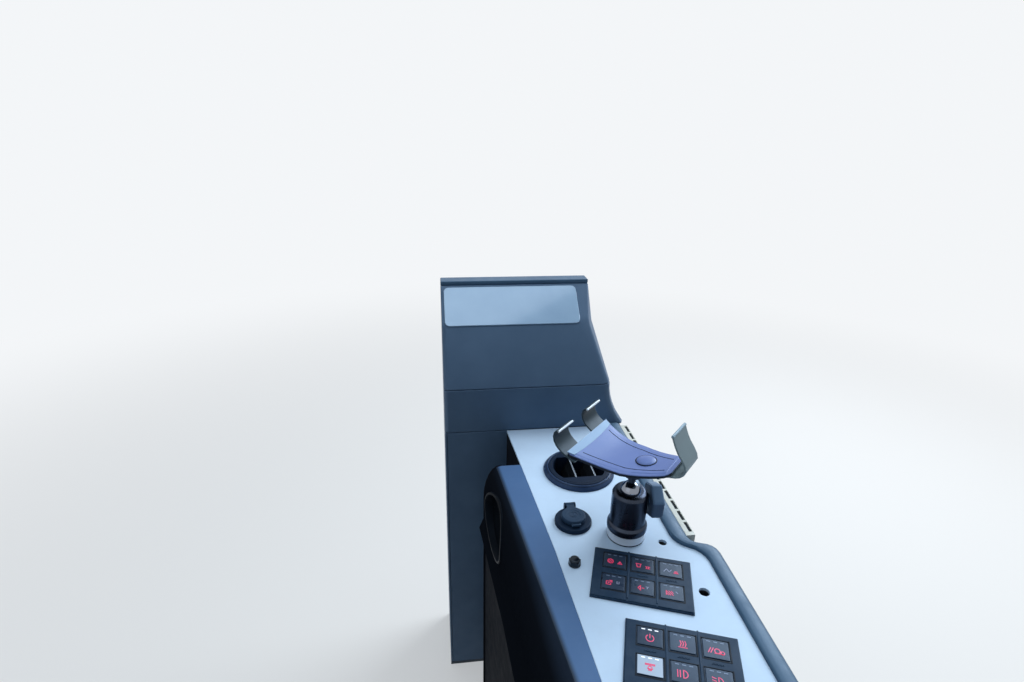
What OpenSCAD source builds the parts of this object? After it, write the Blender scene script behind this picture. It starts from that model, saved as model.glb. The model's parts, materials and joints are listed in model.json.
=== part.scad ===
// Side console of a forestry machine's cab: a hollow housing on a floor flange, a painted
// switch plate with an air vent, power socket, keypads and phone holder, and a corner tower.
// X runs to the window side, Y ahead, Z up. The origin is the middle of the floor bolts.

/* [Housing] */
// Height of the switch plate's top above the floor
deck_h = 450; // [380:5:560]
// Thickness of the switch plate
deck_t = 3; // [2:0.5:4]
// Wall of the moulded and pressed housing panels
wall = 3; // [2:0.5:4]
// Near end of the housing, towards the seat's back
near_y = -320; // [-420:5:-260]
// Far end of the switch plate, where the tower stands
far_y = 220; // [210:5:260]
// Switch plate's left edge at the far end
deck_left_far = -82; // [-88:1:-78]
// Switch plate's left edge abreast of the rim's bend
deck_left_mid = -62; // [-66:1:-58]
// Switch plate's left edge at the near end
deck_left_near = -47; // [-56:1:-44]
// Seam between moulded parts that are screwed together
seam = 0.3; // [0.2:0.1:0.5]

/* [Base] */
// Thickness of the floor flange
flange_t = 5; // [4:0.5:8]
// Width of the flange inside the walls
flange_w = 30; // [26:1:34]
// Bolt spacing across the housing
bolt_x = 140; // [130:1:150]
// Bolt spacing along the housing
bolt_y = 610; // [606:1:614]
// Radius of the floor bolt holes
bolt_r = 4.5; // [3.5:0.25:6]

/* [Rim] */
// Switch plate's right edge beyond the bend
rim_in_far = 65.5; // [60:0.5:68]
// Switch plate's right edge just before the bend
rim_in_mid = 91; // [86:0.5:94]
// Switch plate's right edge at the near end
rim_in_near = 81; // [78:0.5:88]
// Width of the rim
rim_w = 17; // [14:0.5:20]
// Height of the rim's crown over the plate
rim_rise = 4.5; // [3:0.5:7]
// Depth of the rim's skirt under the plate
rim_drop = 14; // [10:1:20]
// Ledge under the plate's edges
ledge = 4; // [3:0.5:6]

/* [Inner side panel] */
// Width of the panel's flat top strip
strip_w = 25; // [22:1:30]
// Width of the panel's curved shoulder
shoulder_w = 22; // [18:1:26]
// Height of the panel's curved shoulder
shoulder_h = 47; // [36:1:52]
// Height of the panel down to its seam
panel_h = 98; // [92:1:120]
// Far end of the panel
panel_far_y = 137; // [130:1:150]
// How far the panel's lower lip flares out
lip_out = 6; // [4:0.5:8]
// How far the lower panel stands back under the seam
setback = 2; // [1:0.5:2.5]
// Place of the oval speaker along the panel
speaker_y = 75; // [60:1:80]
// Depth of the speaker's middle under the plate
speaker_drop = 42; // [40:1:46]
// Half the speaker's length
speaker_l = 50; // [40:1:52]
// Half the speaker's height
speaker_h = 34; // [28:1:35]

/* [Defroster grille] */
// Width of the grille strip
grille_w = 10.5; // [9:0.5:13]
// Length of one grille slot
slot_len = 15.5; // [10:0.5:16]
// Width of one grille slot
slot_w = 3.6; // [2.6:0.2:5]
// Pitch of the grille slots
slot_pitch = 19; // [19:1:24]
// Depth of the grille slots
slot_deep = 6; // [3:0.5:8]

/* [Tower] */
// Left end of the tower
tower_left = -169; // [-190:1:-150]
// Back face of the tower
tower_back_y = 325; // [315:1:345]
// Height of the tower's seam over the plate
tower_seam = 66; // [58:1:74]
// Height of the top face's near edge over the plate
tower_brow = 143; // [130:1:152]
// Height of the top face's far edge over the plate
tower_crest = 190; // [180:1:200]
// How far the upper cover leans back up to the brow
tower_lean = 32; // [24:1:40]
// How far the crest stands ahead of the plate's end
crest_run = 82; // [76:1:88]
// Tower's right side at the plate
tower_right_foot = 91; // [80:1:92]
// Tower's right side at the seam
tower_right_seam = 66; // [60:1:72]
// Tower's right side at the brow
tower_right_brow = 45.5; // [36:0.5:50]
// Tower's right side at the crest
tower_right_crest = 44; // [32:1:45]
// Chamfer of the tower's front corner at the seam
corner_seam = 11; // [6:1:14]
// Chamfer of the tower's front corner at the brow
corner_brow = 24; // [12:1:26]
// Height of the lip behind the top face
lip_h = 6; // [4:0.5:8]

/* [Vent] */
// Middle of the vent across
vent_x = -4; // [-8:0.5:0]
// Middle of the vent along
vent_y = 114; // [108:0.5:120]
// Outer radius of the vent's bezel
vent_r = 44.4; // [43:0.2:46]
// Outer radius of the turning barrel
barrel_r = 38.3; // [37.5:0.1:38.8]
// Radius of the vent's opening
vent_open_r = 32.5; // [31:0.1:33.5]
// Half the opening's width between its two straight sides
vent_open_h = 22; // [20:0.5:24]
// Height of the barrel's face over the plate
vent_rise = 6.5; // [5:0.5:9]
// Depth of the vent under the plate
vent_deep = 30; // [26:1:40]
// Spacing of the two vanes
vane_pitch = 24; // [23:0.5:26]
// Height of a vane
vane_h = 22; // [16:0.5:22]
// Lean of the vanes as they stand
vane_lean = 25; // [0:1:35]
// Thickness of a vane
vane_t = 1.8; // [1.4:0.1:2.4]
// Radius of a vane's pins
vane_pin_r = 1.2; // [1:0.1:1.5]

/* [Power socket] */
// Middle of the socket across
socket_x = -33.6; // [-36:0.2:-30]
// Middle of the socket along
socket_y = 19; // [14:0.5:24]
// Radius of the socket's flange
socket_r = 20.4; // [19:0.2:21]
// Height of the socket's flange
socket_h = 5; // [4:0.5:6]
// Radius of the socket's bore
socket_bore = 10.5; // [10.4:0.05:10.6]
// Depth of the socket's bore
socket_deep = 38; // [30:1:45]
// Radius of the socket's cap
cap_r = 13.4; // [12.6:0.1:13.6]
// Height of the cap's top over the plate
cap_top = 11; // [10:0.5:12]

/* [Push knob] */
// Middle of the knob across
knob_x = -46.5; // [-48:0.5:-44]
// Middle of the knob along
knob_y = -42.5; // [-46:0.5:-34]
// Radius of the knob
knob_r = 6.3; // [5:0.1:8]

/* [Keypads] */
// Width of a keypad
pad_w = 95; // [90:0.5:98]
// Length of a keypad
pad_l = 65.6; // [63:0.2:68]
// Height of a keypad over the plate
pad_rise = 3; // [2.5:0.5:5]
// Turn of the keypads on the plate
pad_turn = 20; // [16:0.5:22]
// Pitch of the keys across
key_px = 27.1; // [26:0.1:28]
// Pitch of the keys along
key_py = 28.6; // [27:0.1:29]
// Width of a key
key_w = 22.5; // [20:0.1:23]
// Length of a key
key_l = 19.8; // [18:0.1:21]
// Margin left of the keys
pad_side = 9.7; // [8:0.1:10.5]
// Margin beyond the far row of keys
pad_top = 6.7; // [5:0.1:8]
// Far keypad's middle
pad_1 = [13.4, -70.1]; // [-200:0.1:200]
// Near keypad's middle
pad_2 = [16.6, -160.3]; // [-200:0.1:200]

/* [Spare holes] */
// Radius of the far spare hole in the plate
hole_a_r = 4.3; // [3.5:0.1:5]
// Radius of the near spare hole in the plate
hole_b_r = 5.1; // [4:0.1:6]
// Radius of the far nut's bore
nut_a_r = 4.2; // [3:0.1:4.3]
// Radius of the near nut's bore
nut_b_r = 5; // [3:0.1:5.1]
// Height of the nuts welded under the plate
nut_h = 7; // [5:0.5:10]
// Place of the far spare hole
hole_a = [53.6, -22.3]; // [-200:0.1:200]
// Place of the near spare hole
hole_b = [67.9, -91.4]; // [-200:0.1:200]

/* [Phone holder] */
// Middle of the holder's foot across
holder_x = 18.3; // [14:0.5:22]
// Middle of the holder's foot along
holder_y = -6; // [-8:0.5:0]
// Radius of the foot
foot_r = 20; // [18:0.5:21]
// Height of the foot
foot_h = 11; // [9:0.5:13]
// Radius of the holder's body
holder_r = 18.6; // [16:0.2:19]
// Height of the body's top over the plate
holder_top = 58.3; // [57.6:0.1:60]
// Radius of the ball
ball_r = 10.6; // [9.8:0.1:11.2]
// Height of the ball's middle over the plate
ball_z = 57.3; // [55:0.1:57.6]
// Radius of the stem's pin in the ball
stem_pin_r = 3; // [2.5:0.1:3.5]
// Radius of the stem
stem_r = 4; // [3.6:0.1:5]
// Height of the cradle's middle over the plate
cradle_z = 94.8; // [90:0.2:100]
// Turn of the cradle on the plate
cradle_turn = -44; // [-50:1:-20]
// Thickness of the cradle
cradle_t = 3.5; // [2.5:0.5:5]
// Length of the cradle's arm to the fixed claws
arm_left = 55; // [50:1:60]
// Length of the cradle's arm to the sliding claw
arm_right = 44; // [40:1:48]
// Half the cradle's width at the fixed claws
half_left = 43; // [40:1:46]
// Half the cradle's width over the stem
half_mid = 31; // [26:1:34]
// Half the cradle's width at the sliding claw
half_right = 20; // [18:1:23]
// Rise of the cradle's surface 50 mm from its middle
cradle_sag = 10; // [6:0.5:12]
// Lean of the cradle towards the sliding claw's end, at its middle
cradle_lean = 4.5; // [0:0.5:6]
// Height of the fixed claws over the cradle's end
claw_left_h = 20; // [17:1:26]
// Height of the sliding claw over the cradle's end
claw_right_h = 37; // [28:1:42]
// Width of one fixed claw
claw_w = 27.5; // [20:0.5:32]
// Width across the corners of the clamp knob
clamp_d = 38; // [32:1:40]
// Thickness of the clamp knob
clamp_t = 12; // [10:0.5:14]
// Turn of the clamp screw on the plate
clamp_turn = -5; // [-30:1:0]
// Height of the clamp screw over the plate
clamp_z = 45; // [38:1:46]

/* [Hidden] */

run_gap = 0.06;             // radial clearance of a pin in its bore
edge = 0.8;                 // small bevels on the moulded parts
big = 1000;
mid_y = -20;                // where the plate's left edge bends
strip_rise = 0.5;           // the side panel's strip stands this much over the plate
side_out = strip_w + shoulder_w;
wall_x_far = 93;            // window side wall beyond the rim's bend
outer_slit = 10;            // how far the outer panel reaches round the bend
bend_in = [-12, -54];       // the rim's inner bend, along
bend_out = [-18, -44];      // the rim's outer bend, along
bend_steps = 8;
arc_steps = 6;

// The straight line through two points, at y
function line_at(y, y0, x0, y1, x1) = x0 + (x1 - x0) * (y - y0) / (y1 - y0);
// Left edge of the switch plate
function deck_left(y) = y < mid_y
    ? line_at(y, near_y, deck_left_near, mid_y, deck_left_mid)
    : line_at(y, mid_y, deck_left_mid, far_y, deck_left_far);
// Two equal arcs that carry a line sideways from a to b
function s_bend(a, b, n) =
    let(d = b[0] - a[0], l = b[1] - a[1], r = (l * l + d * d) / (4 * abs(d)),
        turn = 2 * atan(abs(d) / abs(l)), sx = sign(d), sy = sign(l))
    [for (i = [0:n]) let(t = i / n) t < 0.5
        ? [a[0] + sx * r * (1 - cos(turn * 2 * t)), a[1] + sy * r * sin(turn * 2 * t)]
        : [b[0] - sx * r * (1 - cos(turn * 2 * (1 - t))), b[1] - sy * r * sin(turn * 2 * (1 - t))]];
function rim_inner() = concat([[rim_in_far, far_y - seam]],
    s_bend([rim_in_far, bend_in[0]], [rim_in_mid, bend_in[1]], bend_steps),
    [[rim_in_near, near_y + wall + seam]]);
function rim_outer() = concat([[rim_in_far + rim_w + 1, far_y - seam]],
    s_bend([rim_in_far + rim_w + 1, bend_out[0]], [rim_in_mid + rim_w, bend_out[1]], bend_steps),
    [[rim_in_near + rim_w, near_y + wall + seam]]);

// Side faces between rings that hold the same number of points
function skin_sides(n, m, last) = [for (k = [0:last], i = [0:n - 1]) let(q = (k + 1) % m)
    [k * n + i, q * n + i, q * n + (i + 1) % n, k * n + (i + 1) % n]];
// A closed solid through rings
module skin(rings) {
    n = len(rings[0]);
    m = len(rings);
    polyhedron(points = [for (r = rings) each r], convexity = 8,
        faces = concat([[for (i = [0:n - 1]) i]], skin_sides(n, m, m - 2),
            [[for (i = [n - 1:-1:0]) (m - 1) * n + i]]));
}
// A ring-shaped solid whose last section joins its first
module skin_loop(rings) polyhedron(points = [for (r = rings) each r], convexity = 8,
    faces = skin_sides(len(rings[0]), len(rings), len(rings) - 1));
// A strip of thickness t along a line of points
function band(c, t) = let(n = len(c), side = [for (i = [0:n - 1])
        let(v = c[min(i + 1, n - 1)] - c[max(i - 1, 0)]) [-v[1], v[0]] / norm(v) * t / 2])
    concat([for (i = [0:n - 1]) c[i] + side[i]], [for (i = [n - 1:-1:0]) c[i] - side[i]]);

// Plan of the housing's walls
footprint_in = 4;           // how far the walls stand in from the rim's outer edge
module footprint() polygon([
    [deck_left(near_y) - side_out, near_y], [deck_left(mid_y) - side_out, mid_y],
    [deck_left(panel_far_y) - side_out, panel_far_y], [deck_left(panel_far_y), panel_far_y],
    [deck_left(far_y), far_y], [tower_left, far_y], [tower_left, tower_back_y],
    [wall_x_far, tower_back_y], [wall_x_far, bend_out[0] - outer_slit],
    [rim_in_mid + rim_w - footprint_in, bend_out[1] - footprint_in],
    [rim_in_near + rim_w - footprint_in, near_y]]);
module wall_plan() difference() {
    footprint();
    offset(delta = -wall) footprint();
}
module wall_piece(x0, x1, y0, y1, z0, z1) translate([0, 0, z0]) linear_extrude(z1 - z0)
    intersection() {
        wall_plan();
        translate([x0, y0]) square([x1 - x0, y1 - y0]);
    }
foot_z = flange_t + seam;   // walls stand this high over the floor
in_near_y = near_y + wall + seam;
in_far_y = tower_back_y - wall - seam;
in_step_y = panel_far_y - wall - seam;

module base_flange() color("#2b2d30") difference() {
    linear_extrude(flange_t) difference() {
        footprint();
        offset(delta = -flange_w) footprint();
    }
    for (x = [-1, 1], y = [-1, 1]) translate([x * bolt_x / 2, y * bolt_y / 2, -1])
        cylinder(r = bolt_r, h = flange_t + 2, $fn = 32);
}
panel_lap = 10;             // the lower panel reaches this far up behind the lip
module lower_inner_panel() color("#1c1f24") translate([setback, 0, 0])
    wall_piece(-big, deck_left(mid_y) - side_out + flange_w, in_near_y, in_step_y,
        foot_z, deck_h - panel_h + panel_lap);

// Outline of the side panel's strip and shoulder, drawn in by w
function shoulder(e, w) = [for (i = [0:arc_steps]) let(a = 90 * i / arc_steps)
    [e - strip_w - (shoulder_w - w) * sin(a), deck_h + strip_rise - w - (shoulder_h - w) * (1 - cos(a))]];
function shoulder_back(e, w) = let(s = shoulder(e, w)) [for (i = [arc_steps:-1:0]) s[i]];
flare_z = [20, 12, 4];      // heights over the panel's lower edge where the lip flares
// Section of the inner side panel, from its ledge over the shoulder to the lip that turns under
function side_section(y) = let(e = deck_left(y) - seam, x = e - side_out, z = deck_h - panel_h,
        under = deck_h - deck_t - seam)
    [for (p = concat([[e + ledge, under], [e, under], [e, deck_h + strip_rise]], shoulder(e, 0),
        [[x, z + flare_z[0]], [x - lip_out / 2, z + flare_z[1]], [x - lip_out, z + flare_z[2]],
        [x - lip_out + 1, z], [x + setback - seam, z], [x + setback - seam, z + wall],
        [x - lip_out + wall + 1, z + wall], [x - lip_out / 2 + wall, z + flare_z[1]],
        [x + wall, z + flare_z[0]]], shoulder_back(e, wall),
        [[e, under - wall], [e + ledge, under - wall]])) [p[0], y, p[1]]];
module inner_side_panel() color("#14171c") difference() {
    skin([for (y = [in_near_y, mid_y, in_step_y]) side_section(y)]);
    at_speaker() translate([0, 0, -2 * side_out]) linear_extrude(4 * side_out) oval(-wall);
}

// The oval speaker lies on the curved shoulder, in a frame with x up, y along and z out
panel_lean = atan((deck_left_mid - deck_left_far) / (far_y - mid_y));
module at_speaker() translate([deck_left(speaker_y), speaker_y, deck_h - speaker_drop])
    rotate([0, 0, panel_lean]) rotate([0, -90, 0]) children();
module oval(grow) scale([speaker_h + grow, speaker_l + grow]) circle(r = 1, $fn = 48);
// How far out of the plate's edge the shoulder lies, x over the speaker's middle
function shoulder_at(x) = let(k = max(0, x - speaker_drop + shoulder_h - strip_rise) / shoulder_h)
    (strip_w + seam + shoulder_w * sqrt(1 - k * k)) * cos(panel_lean);
bezel_w = 6;
bezel_in_z = 36;            // inner edge of the bezel, out of the plate's edge
bezel_tilt = 7;             // and its tilt
function oval_at(a, grow, z) = [(speaker_h + grow) * cos(a), (speaker_l + grow) * sin(a), z];
function oval_on(a, grow, lift) = oval_at(a, grow, shoulder_at((speaker_h + grow) * cos(a)) + lift);
function floor_z(x) = bezel_in_z - x * tan(bezel_tilt);
module speaker_bezel() color("#101215") at_speaker() skin_loop([for (a = [0:7.5:352.5])
    let(f = floor_z((speaker_h - bezel_w) * cos(a)))
    [oval_on(a, -wall - seam, -wall), oval_on(a, -wall - seam, seam), oval_on(a, 0, seam),
        oval_on(a, -edge, 2 * edge), oval_on(a, -wall, 2 * edge), oval_at(a, -bezel_w, f + wall),
        oval_at(a, -bezel_w, f), oval_at(a, -bezel_w + 1, f)]]);
module speaker_mesh() color("#0b0c0e") at_speaker() translate([0, 0, bezel_in_z]) rotate([0, bezel_tilt, 0]) {
    linear_extrude(2) oval(-bezel_w - 1);
    translate([0, 0, 1]) linear_extrude(2) scale([1, speaker_l / speaker_h]) circle(r = speaker_h / 3, $fn = 32);
}
module step_panel() color("#1c1f24") translate([0, panel_far_y, 0]) rotate([90, 0, 0])
    linear_extrude(wall) end_outline(deck_left(panel_far_y), [[deck_left(panel_far_y), deck_h - deck_t - seam],
        [deck_left(panel_far_y), foot_z]]);
module notch_panel() color("#1c1f24")
    wall_piece(deck_left(far_y) - 1, 0, panel_far_y + seam, far_y - seam, foot_z, deck_h - deck_t - seam);
module column_front_panel() color("#3a424c")
    wall_piece(tower_left + wall + seam, deck_left(far_y) + ledge, far_y, far_y + wall,
        foot_z, deck_h - seam);
module column_end_panel() color("#3a424c")
    wall_piece(tower_left, tower_left + wall, far_y, in_far_y, foot_z, deck_h - seam);
module outer_panel() color("#1c1f24")
    wall_piece(wall_x_far - wall - outer_slit, big, in_near_y, in_far_y, foot_z, deck_h - rim_drop - seam);
module back_panel() color("#3a424c") translate([0, tower_back_y, 0]) rotate([90, 0, 0])
    linear_extrude(wall) polygon(concat([[tower_left, foot_z], [wall_x_far, foot_z]],
        [for (z = concat(flare_steps, [tower_brow, tower_crest])) [tower_right(z), deck_h + z]],
        [[tower_left, deck_h + tower_crest]]));
// Outline of an end panel that closes the inner side, with the rest of its points
module end_outline(e, rest) polygon(concat([[e - side_out, foot_z]], shoulder_back(e - seam, 0), rest));
module near_end_panel() color("#1c1f24") translate([0, near_y + wall, 0]) rotate([90, 0, 0])
    linear_extrude(wall) let(x = rim_in_near + rim_w) end_outline(deck_left(near_y), [[x - footprint_in, deck_h],
        [x, deck_h - footprint_in], [x, deck_h - rim_drop], [x - footprint_in, deck_h - rim_drop],
        [x - footprint_in, foot_z]]);

// The painted switch plate with its cut-outs
module deck_hole(at, r) translate([at[0], at[1], -1]) cylinder(r = r, h = deck_t + 2, $fn = 64);
module deck_plate() color("#dfe5ec") translate([0, 0, deck_h - deck_t]) difference() {
    linear_extrude(deck_t) polygon(concat(
        [[deck_left(far_y - seam), far_y - seam]], [for (p = rim_inner()) [p[0] - seam, p[1]]],
        [[deck_left(in_near_y), in_near_y], [deck_left(mid_y), mid_y]]));
    deck_hole([vent_x, vent_y], bezel_in + vent_wall + seam);
    deck_hole([socket_x, socket_y], socket_bore + socket_wall + seam);
    deck_hole([knob_x, knob_y], knob_neck + seam);
    deck_hole([holder_x, holder_y], foot_screw_r);
    deck_hole(hole_a, hole_a_r);
    deck_hole(hole_b, hole_b_r);
    for (p = [pad_1, pad_2]) translate([p[0], p[1], -1]) rotate([0, 0, -pad_turn])
        translate([-pad_w / 2 + pad_lip, -pad_l / 2 + pad_lip, 0])
            cube([pad_w - 2 * pad_lip, pad_l - 2 * pad_lip, deck_t + 2]);
}
module nut(at, r) translate([at[0], at[1], deck_h - deck_t - nut_h]) difference() {
    cylinder(r = r * 2, h = nut_h, $fn = 6);
    translate([0, 0, -1]) cylinder(r = r, h = nut_h + 2, $fn = 48);
}
module accessory_nuts() color("#7d8288") {
    nut(hole_a, nut_a_r);
    nut(hole_b, nut_b_r);
}

// Section of the rim between its inner and outer edge points, as width share and height over the plate
rim_crown = [[0, rim_rise - 2], [0.1, rim_rise - 0.5], [0.35, rim_rise], [0.65, rim_rise - 0.3],
    [0.85, rim_rise - 1.6], [0.96, rim_rise - 4], [1, rim_rise - 8], [1, -rim_drop]];
function rim_section(a, b) = let(w = norm(b - a), d = (b - a) / w, under = -deck_t - seam)
    [for (p = concat([[-ledge / w, -rim_drop], [-ledge / w, under], [0, under]], rim_crown))
        [a[0] + d[0] * p[0] * w, a[1] + d[1] * p[0] * w, deck_h + p[1]]];
module edge_rim() color("#4a5663")
    skin([for (i = [0:len(rim_inner()) - 1]) rim_section(rim_inner()[i], rim_outer()[i])]);

grille_x = rim_in_far + rim_w + 1 + seam;
grille_y0 = bend_out[0] + ledge;
grille_end = 6;             // solid ends of the grille
grille_edge = 1.2;          // thin wall right of the slots
module defroster_grille() color("#d8d5c8") difference() {
    translate([grille_x, grille_y0, deck_h - rim_drop])
        cube([grille_w, far_y - seam - grille_y0, rim_drop - 1]);
    for (y = [grille_y0 + grille_end:slot_pitch:far_y - slot_len - grille_end / 2])
        translate([grille_x + grille_w - grille_edge - slot_w, y, deck_h - 1 - slot_deep])
            cube([slot_w, slot_len, slot_deep + 1]);
}

// Right side of the tower at a height over the plate
function tower_right(z) = z < tower_seam
    ? tower_right_seam + (tower_right_foot - tower_right_seam) * pow(1 - max(z, 0) / tower_seam, 2)
    : z < tower_brow ? line_at(z, tower_seam, tower_right_seam, tower_brow, tower_right_brow)
    : line_at(z, tower_brow, tower_right_brow, tower_crest, tower_right_crest);
function tower_front(z) = z < tower_seam ? far_y
    : far_y + tower_lean * (z - tower_seam) / (tower_brow - tower_seam);
function tower_chamfer(z) = z < tower_seam ? corner_seam
    : line_at(z, tower_seam, corner_seam, tower_brow, corner_brow);
flare_steps = [for (i = [0:arc_steps]) tower_seam * i / arc_steps];
left_bevel = 4;
corner_mid = 0.3;           // where the chamfer's middle point lies, as a share of its width
function tower_ring(z, w, back) = let(f = tower_front(z) + w, r = tower_right(z) - w, c = tower_chamfer(z))
    [for (p = [[tower_left + w, back], [tower_left + w, f + left_bevel], [tower_left + w + left_bevel, f],
        [r - c, f], [r - c * corner_mid, f + c * corner_mid], [r, f + c], [r, back]]) [p[0], p[1], deck_h + z]];
// Lower tier's outline drawn in by w, from gap over the plate up to as far under the seam
module tower_foot(gap, w, back)
    skin([for (z = flare_steps) tower_ring(z == 0 ? gap : z == tower_seam ? z - gap : z, w, back)]);
module tower_lower_cover() color("#3f4b58") difference() {
    tower_foot(seam, 0, in_far_y);
    tower_foot(-seam, wall, in_far_y + wall);
}
// Upper tier's outline drawn in by w, from gap over the seam up to the sloping top
module tower_form(gap, w, back) intersection() {
    skin([for (z = [tower_seam, tower_brow, tower_crest + 1]) tower_ring(z, w, back)]);
    translate([tower_left - 1, 0, deck_h]) rotate([90, 0, 90]) linear_extrude(tower_right_foot - tower_left)
        polygon([[far_y - 1, tower_seam + gap], [far_y - 1, tower_brow - w], [far_y + tower_lean, tower_brow - w],
            [far_y + crest_run, tower_crest - w], [back + 1, tower_crest - w], [back + 1, tower_seam + gap]]);
}
module tower_upper_cover() color("#46525f") difference() {
    tower_form(seam, 0, in_far_y);
    tower_form(0, wall, in_far_y + wall);
}
top_slope = atan((tower_crest - tower_brow) / (crest_run - tower_lean));
top_len = norm([tower_crest - tower_brow, crest_run - tower_lean]);
top_margin = 4;
top_t = 2;
top_corner = 7;
module tower_top_panel() color("#b9c9d6") translate([0, far_y + tower_lean, deck_h + tower_brow])
    rotate([top_slope, 0, 0]) translate([tower_left + top_margin, top_margin, 0.1]) linear_extrude(top_t)
        offset(r = top_corner, $fn = 32) offset(delta = -top_corner)
            square([tower_right_crest - corner_brow - tower_left, top_len - 2 * top_margin]);
lip_y = far_y + crest_run + 1;
module tower_lip() color("#5a6672") translate([tower_left, lip_y, deck_h + tower_crest])
    cube([tower_right_crest - tower_left, tower_back_y - lip_y, lip_h]);

// The vent: a bezel, a barrel that turns in it and two vanes that tilt in the barrel
barrel_gap = 0.08;
bezel_in = barrel_r + barrel_gap;
vent_wall = 2.4;
vane_z = -6;                // height of the vanes' pins over the plate
vane_play = 0.5;
module at_vent() translate([vent_x, vent_y, deck_h]) children();
module vent_bezel() color("#202327") at_vent() rotate_extrude($fn = 96)
    polygon([[bezel_in, -vent_deep], [bezel_in + vent_wall, -vent_deep], [bezel_in + vent_wall, 0], [vent_r, 0],
        [vent_r, 2 * edge], [vent_r - 1, 4 * edge], [bezel_in + 2 * edge, vent_rise - edge / 2],
        [bezel_in + edge, vent_rise - edge / 4], [bezel_in, vent_rise - edge]]);
module vent_mouth(grow) intersection() {
    cylinder(r = vent_open_r + grow, h = vent_deep + 2 * vent_rise, $fn = 96);
    translate([-vent_r, -vent_open_h - grow, 0]) cube([2 * vent_r, 2 * (vent_open_h + grow), big]);
}
module vent_barrel() color("#17191c") at_vent() difference() {
    rotate_extrude($fn = 96) polygon([[0, vent_wall + 2 - vent_deep], [barrel_r, vent_wall + 2 - vent_deep],
        [barrel_r, vent_rise - edge], [barrel_r - edge, vent_rise], [0, vent_rise]]);
    translate([0, 0, -vent_deep]) vent_mouth(0);
    for (s = [-1, 1]) translate([0, 0, -vent_deep]) intersection() {
        cylinder(r = barrel_r - vent_wall, h = vent_deep + vent_rise - vent_wall, $fn = 96);
        translate([-vent_r, s > 0 ? vent_open_h + vent_wall : -vent_r - vent_open_h - vent_wall, 0])
            cube([2 * vent_r, vent_r, big]);
    }
    for (i = [-1, 1]) translate([i * vane_pitch / 2, 0, vane_z]) rotate([90, 0, 0])
        cylinder(r = vane_pin_r + run_gap, h = 2 * (vent_open_h + 2 * vent_wall), center = true, $fn = 24);
}
module vane(i) color("#2a2d31") at_vent() translate([i * vane_pitch / 2, 0, vane_z]) {
    rotate([0, vane_lean, 0]) rotate([90, 0, 0])
        linear_extrude(2 * (vent_open_h - vane_play), center = true) hull() for (s = [-1, 1])
            translate([0, s * (vane_h - vane_t) / 2]) circle(r = vane_t / 2, $fn = 16);
    rotate([90, 0, 0]) cylinder(r = vane_pin_r, h = 2 * (vent_open_h + vent_wall), center = true, $fn = 24);
}
module vent_vane_left() vane(-1);
module vent_vane_right() vane(1);

// The power socket and its hinged cap
socket_wall = 3.5;
cap_z = socket_h + 0.4;     // underside of the cap
cap_rim_r = 7.5;            // shallow round recess in the cap's top
hinge_y = socket_r - 2;
hinge_z = cap_top - 2;
hinge_pin_r = 1;
ear_r = 3;
ear_w = 1.6;
tab_w = 9;
thumb_w = 10;               // the cap's finger lip
module at_socket() translate([socket_x, socket_y, deck_h]) children();
module socket_ear(x, w) translate([x, 0, 0]) {
    translate([0, hinge_y - ear_r, 0]) cube([w, 2 * ear_r, hinge_z]);
    translate([0, hinge_y, hinge_z]) rotate([0, 90, 0]) cylinder(r = ear_r, h = w, $fn = 32);
}
module socket_body() color("#1b1d20") at_socket() {
    rotate_extrude($fn = 64) polygon([[0, -socket_deep - 2], [socket_bore + socket_wall, -socket_deep - 2],
        [socket_bore + socket_wall, 0], [socket_r, 0], [socket_r, socket_h - 2 * edge],
        [socket_r - edge, socket_h - edge / 2], [socket_r - 2 * edge, socket_h], [socket_bore, socket_h],
        [socket_bore, -socket_deep], [0, -socket_deep]]);
    socket_ear(tab_w / 2 + seam, ear_w);
    socket_ear(-tab_w / 2 - seam - ear_w, ear_w);
    translate([-tab_w / 2 - 1, hinge_y, hinge_z]) rotate([0, 90, 0])
        cylinder(r = hinge_pin_r, h = tab_w + 2, $fn = 24);
}
module socket_cap() color("#26292d") at_socket() difference() {
    union() {
        rotate_extrude($fn = 64) polygon([[0, cap_z], [cap_r - edge, cap_z], [cap_r, cap_z + edge],
            [cap_r, cap_top - 2 * edge], [cap_r - edge, cap_top - edge / 2], [cap_r - 2 * edge, cap_top],
            [cap_rim_r, cap_top], [cap_rim_r - edge / 2, cap_top - edge / 2], [0, cap_top - edge / 2]]);
        translate([-tab_w / 2, cap_rim_r + 1, hinge_z - 2])
            cube([tab_w, hinge_y - cap_rim_r - 1, cap_top - hinge_z + 2]);
        translate([-tab_w / 2, hinge_y, hinge_z]) rotate([0, 90, 0]) cylinder(r = ear_r - 0.1, h = tab_w, $fn = 32);
        translate([-thumb_w / 2, -cap_r - 2, cap_z + 1]) cube([thumb_w, 5, 2.4]);
    }
    translate([-tab_w, hinge_y, hinge_z]) rotate([0, 90, 0])
        cylinder(r = hinge_pin_r + run_gap, h = 2 * tab_w, $fn = 24);
}

// The push knob: a thin collar on the plate and a domed cap that narrows upwards
knob_neck = knob_r - 2.2;
knob_h = 7.4;
module push_knob() color("#0c0d0f") translate([knob_x, knob_y, deck_h]) rotate_extrude($fn = 48)
    polygon(concat([[0, -pad_under], [knob_neck, -pad_under], [knob_neck, 0], [knob_r, 0], [knob_r, edge],
        [knob_r - edge, 2 * edge], [knob_r - edge, knob_h * 0.6]],
        [for (a = [20:20:80]) [(knob_r - edge) * (1 - 0.4 * (1 - cos(a))), knob_h * (0.6 + 0.4 * sin(a))]],
        [[0, knob_h]]));

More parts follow.
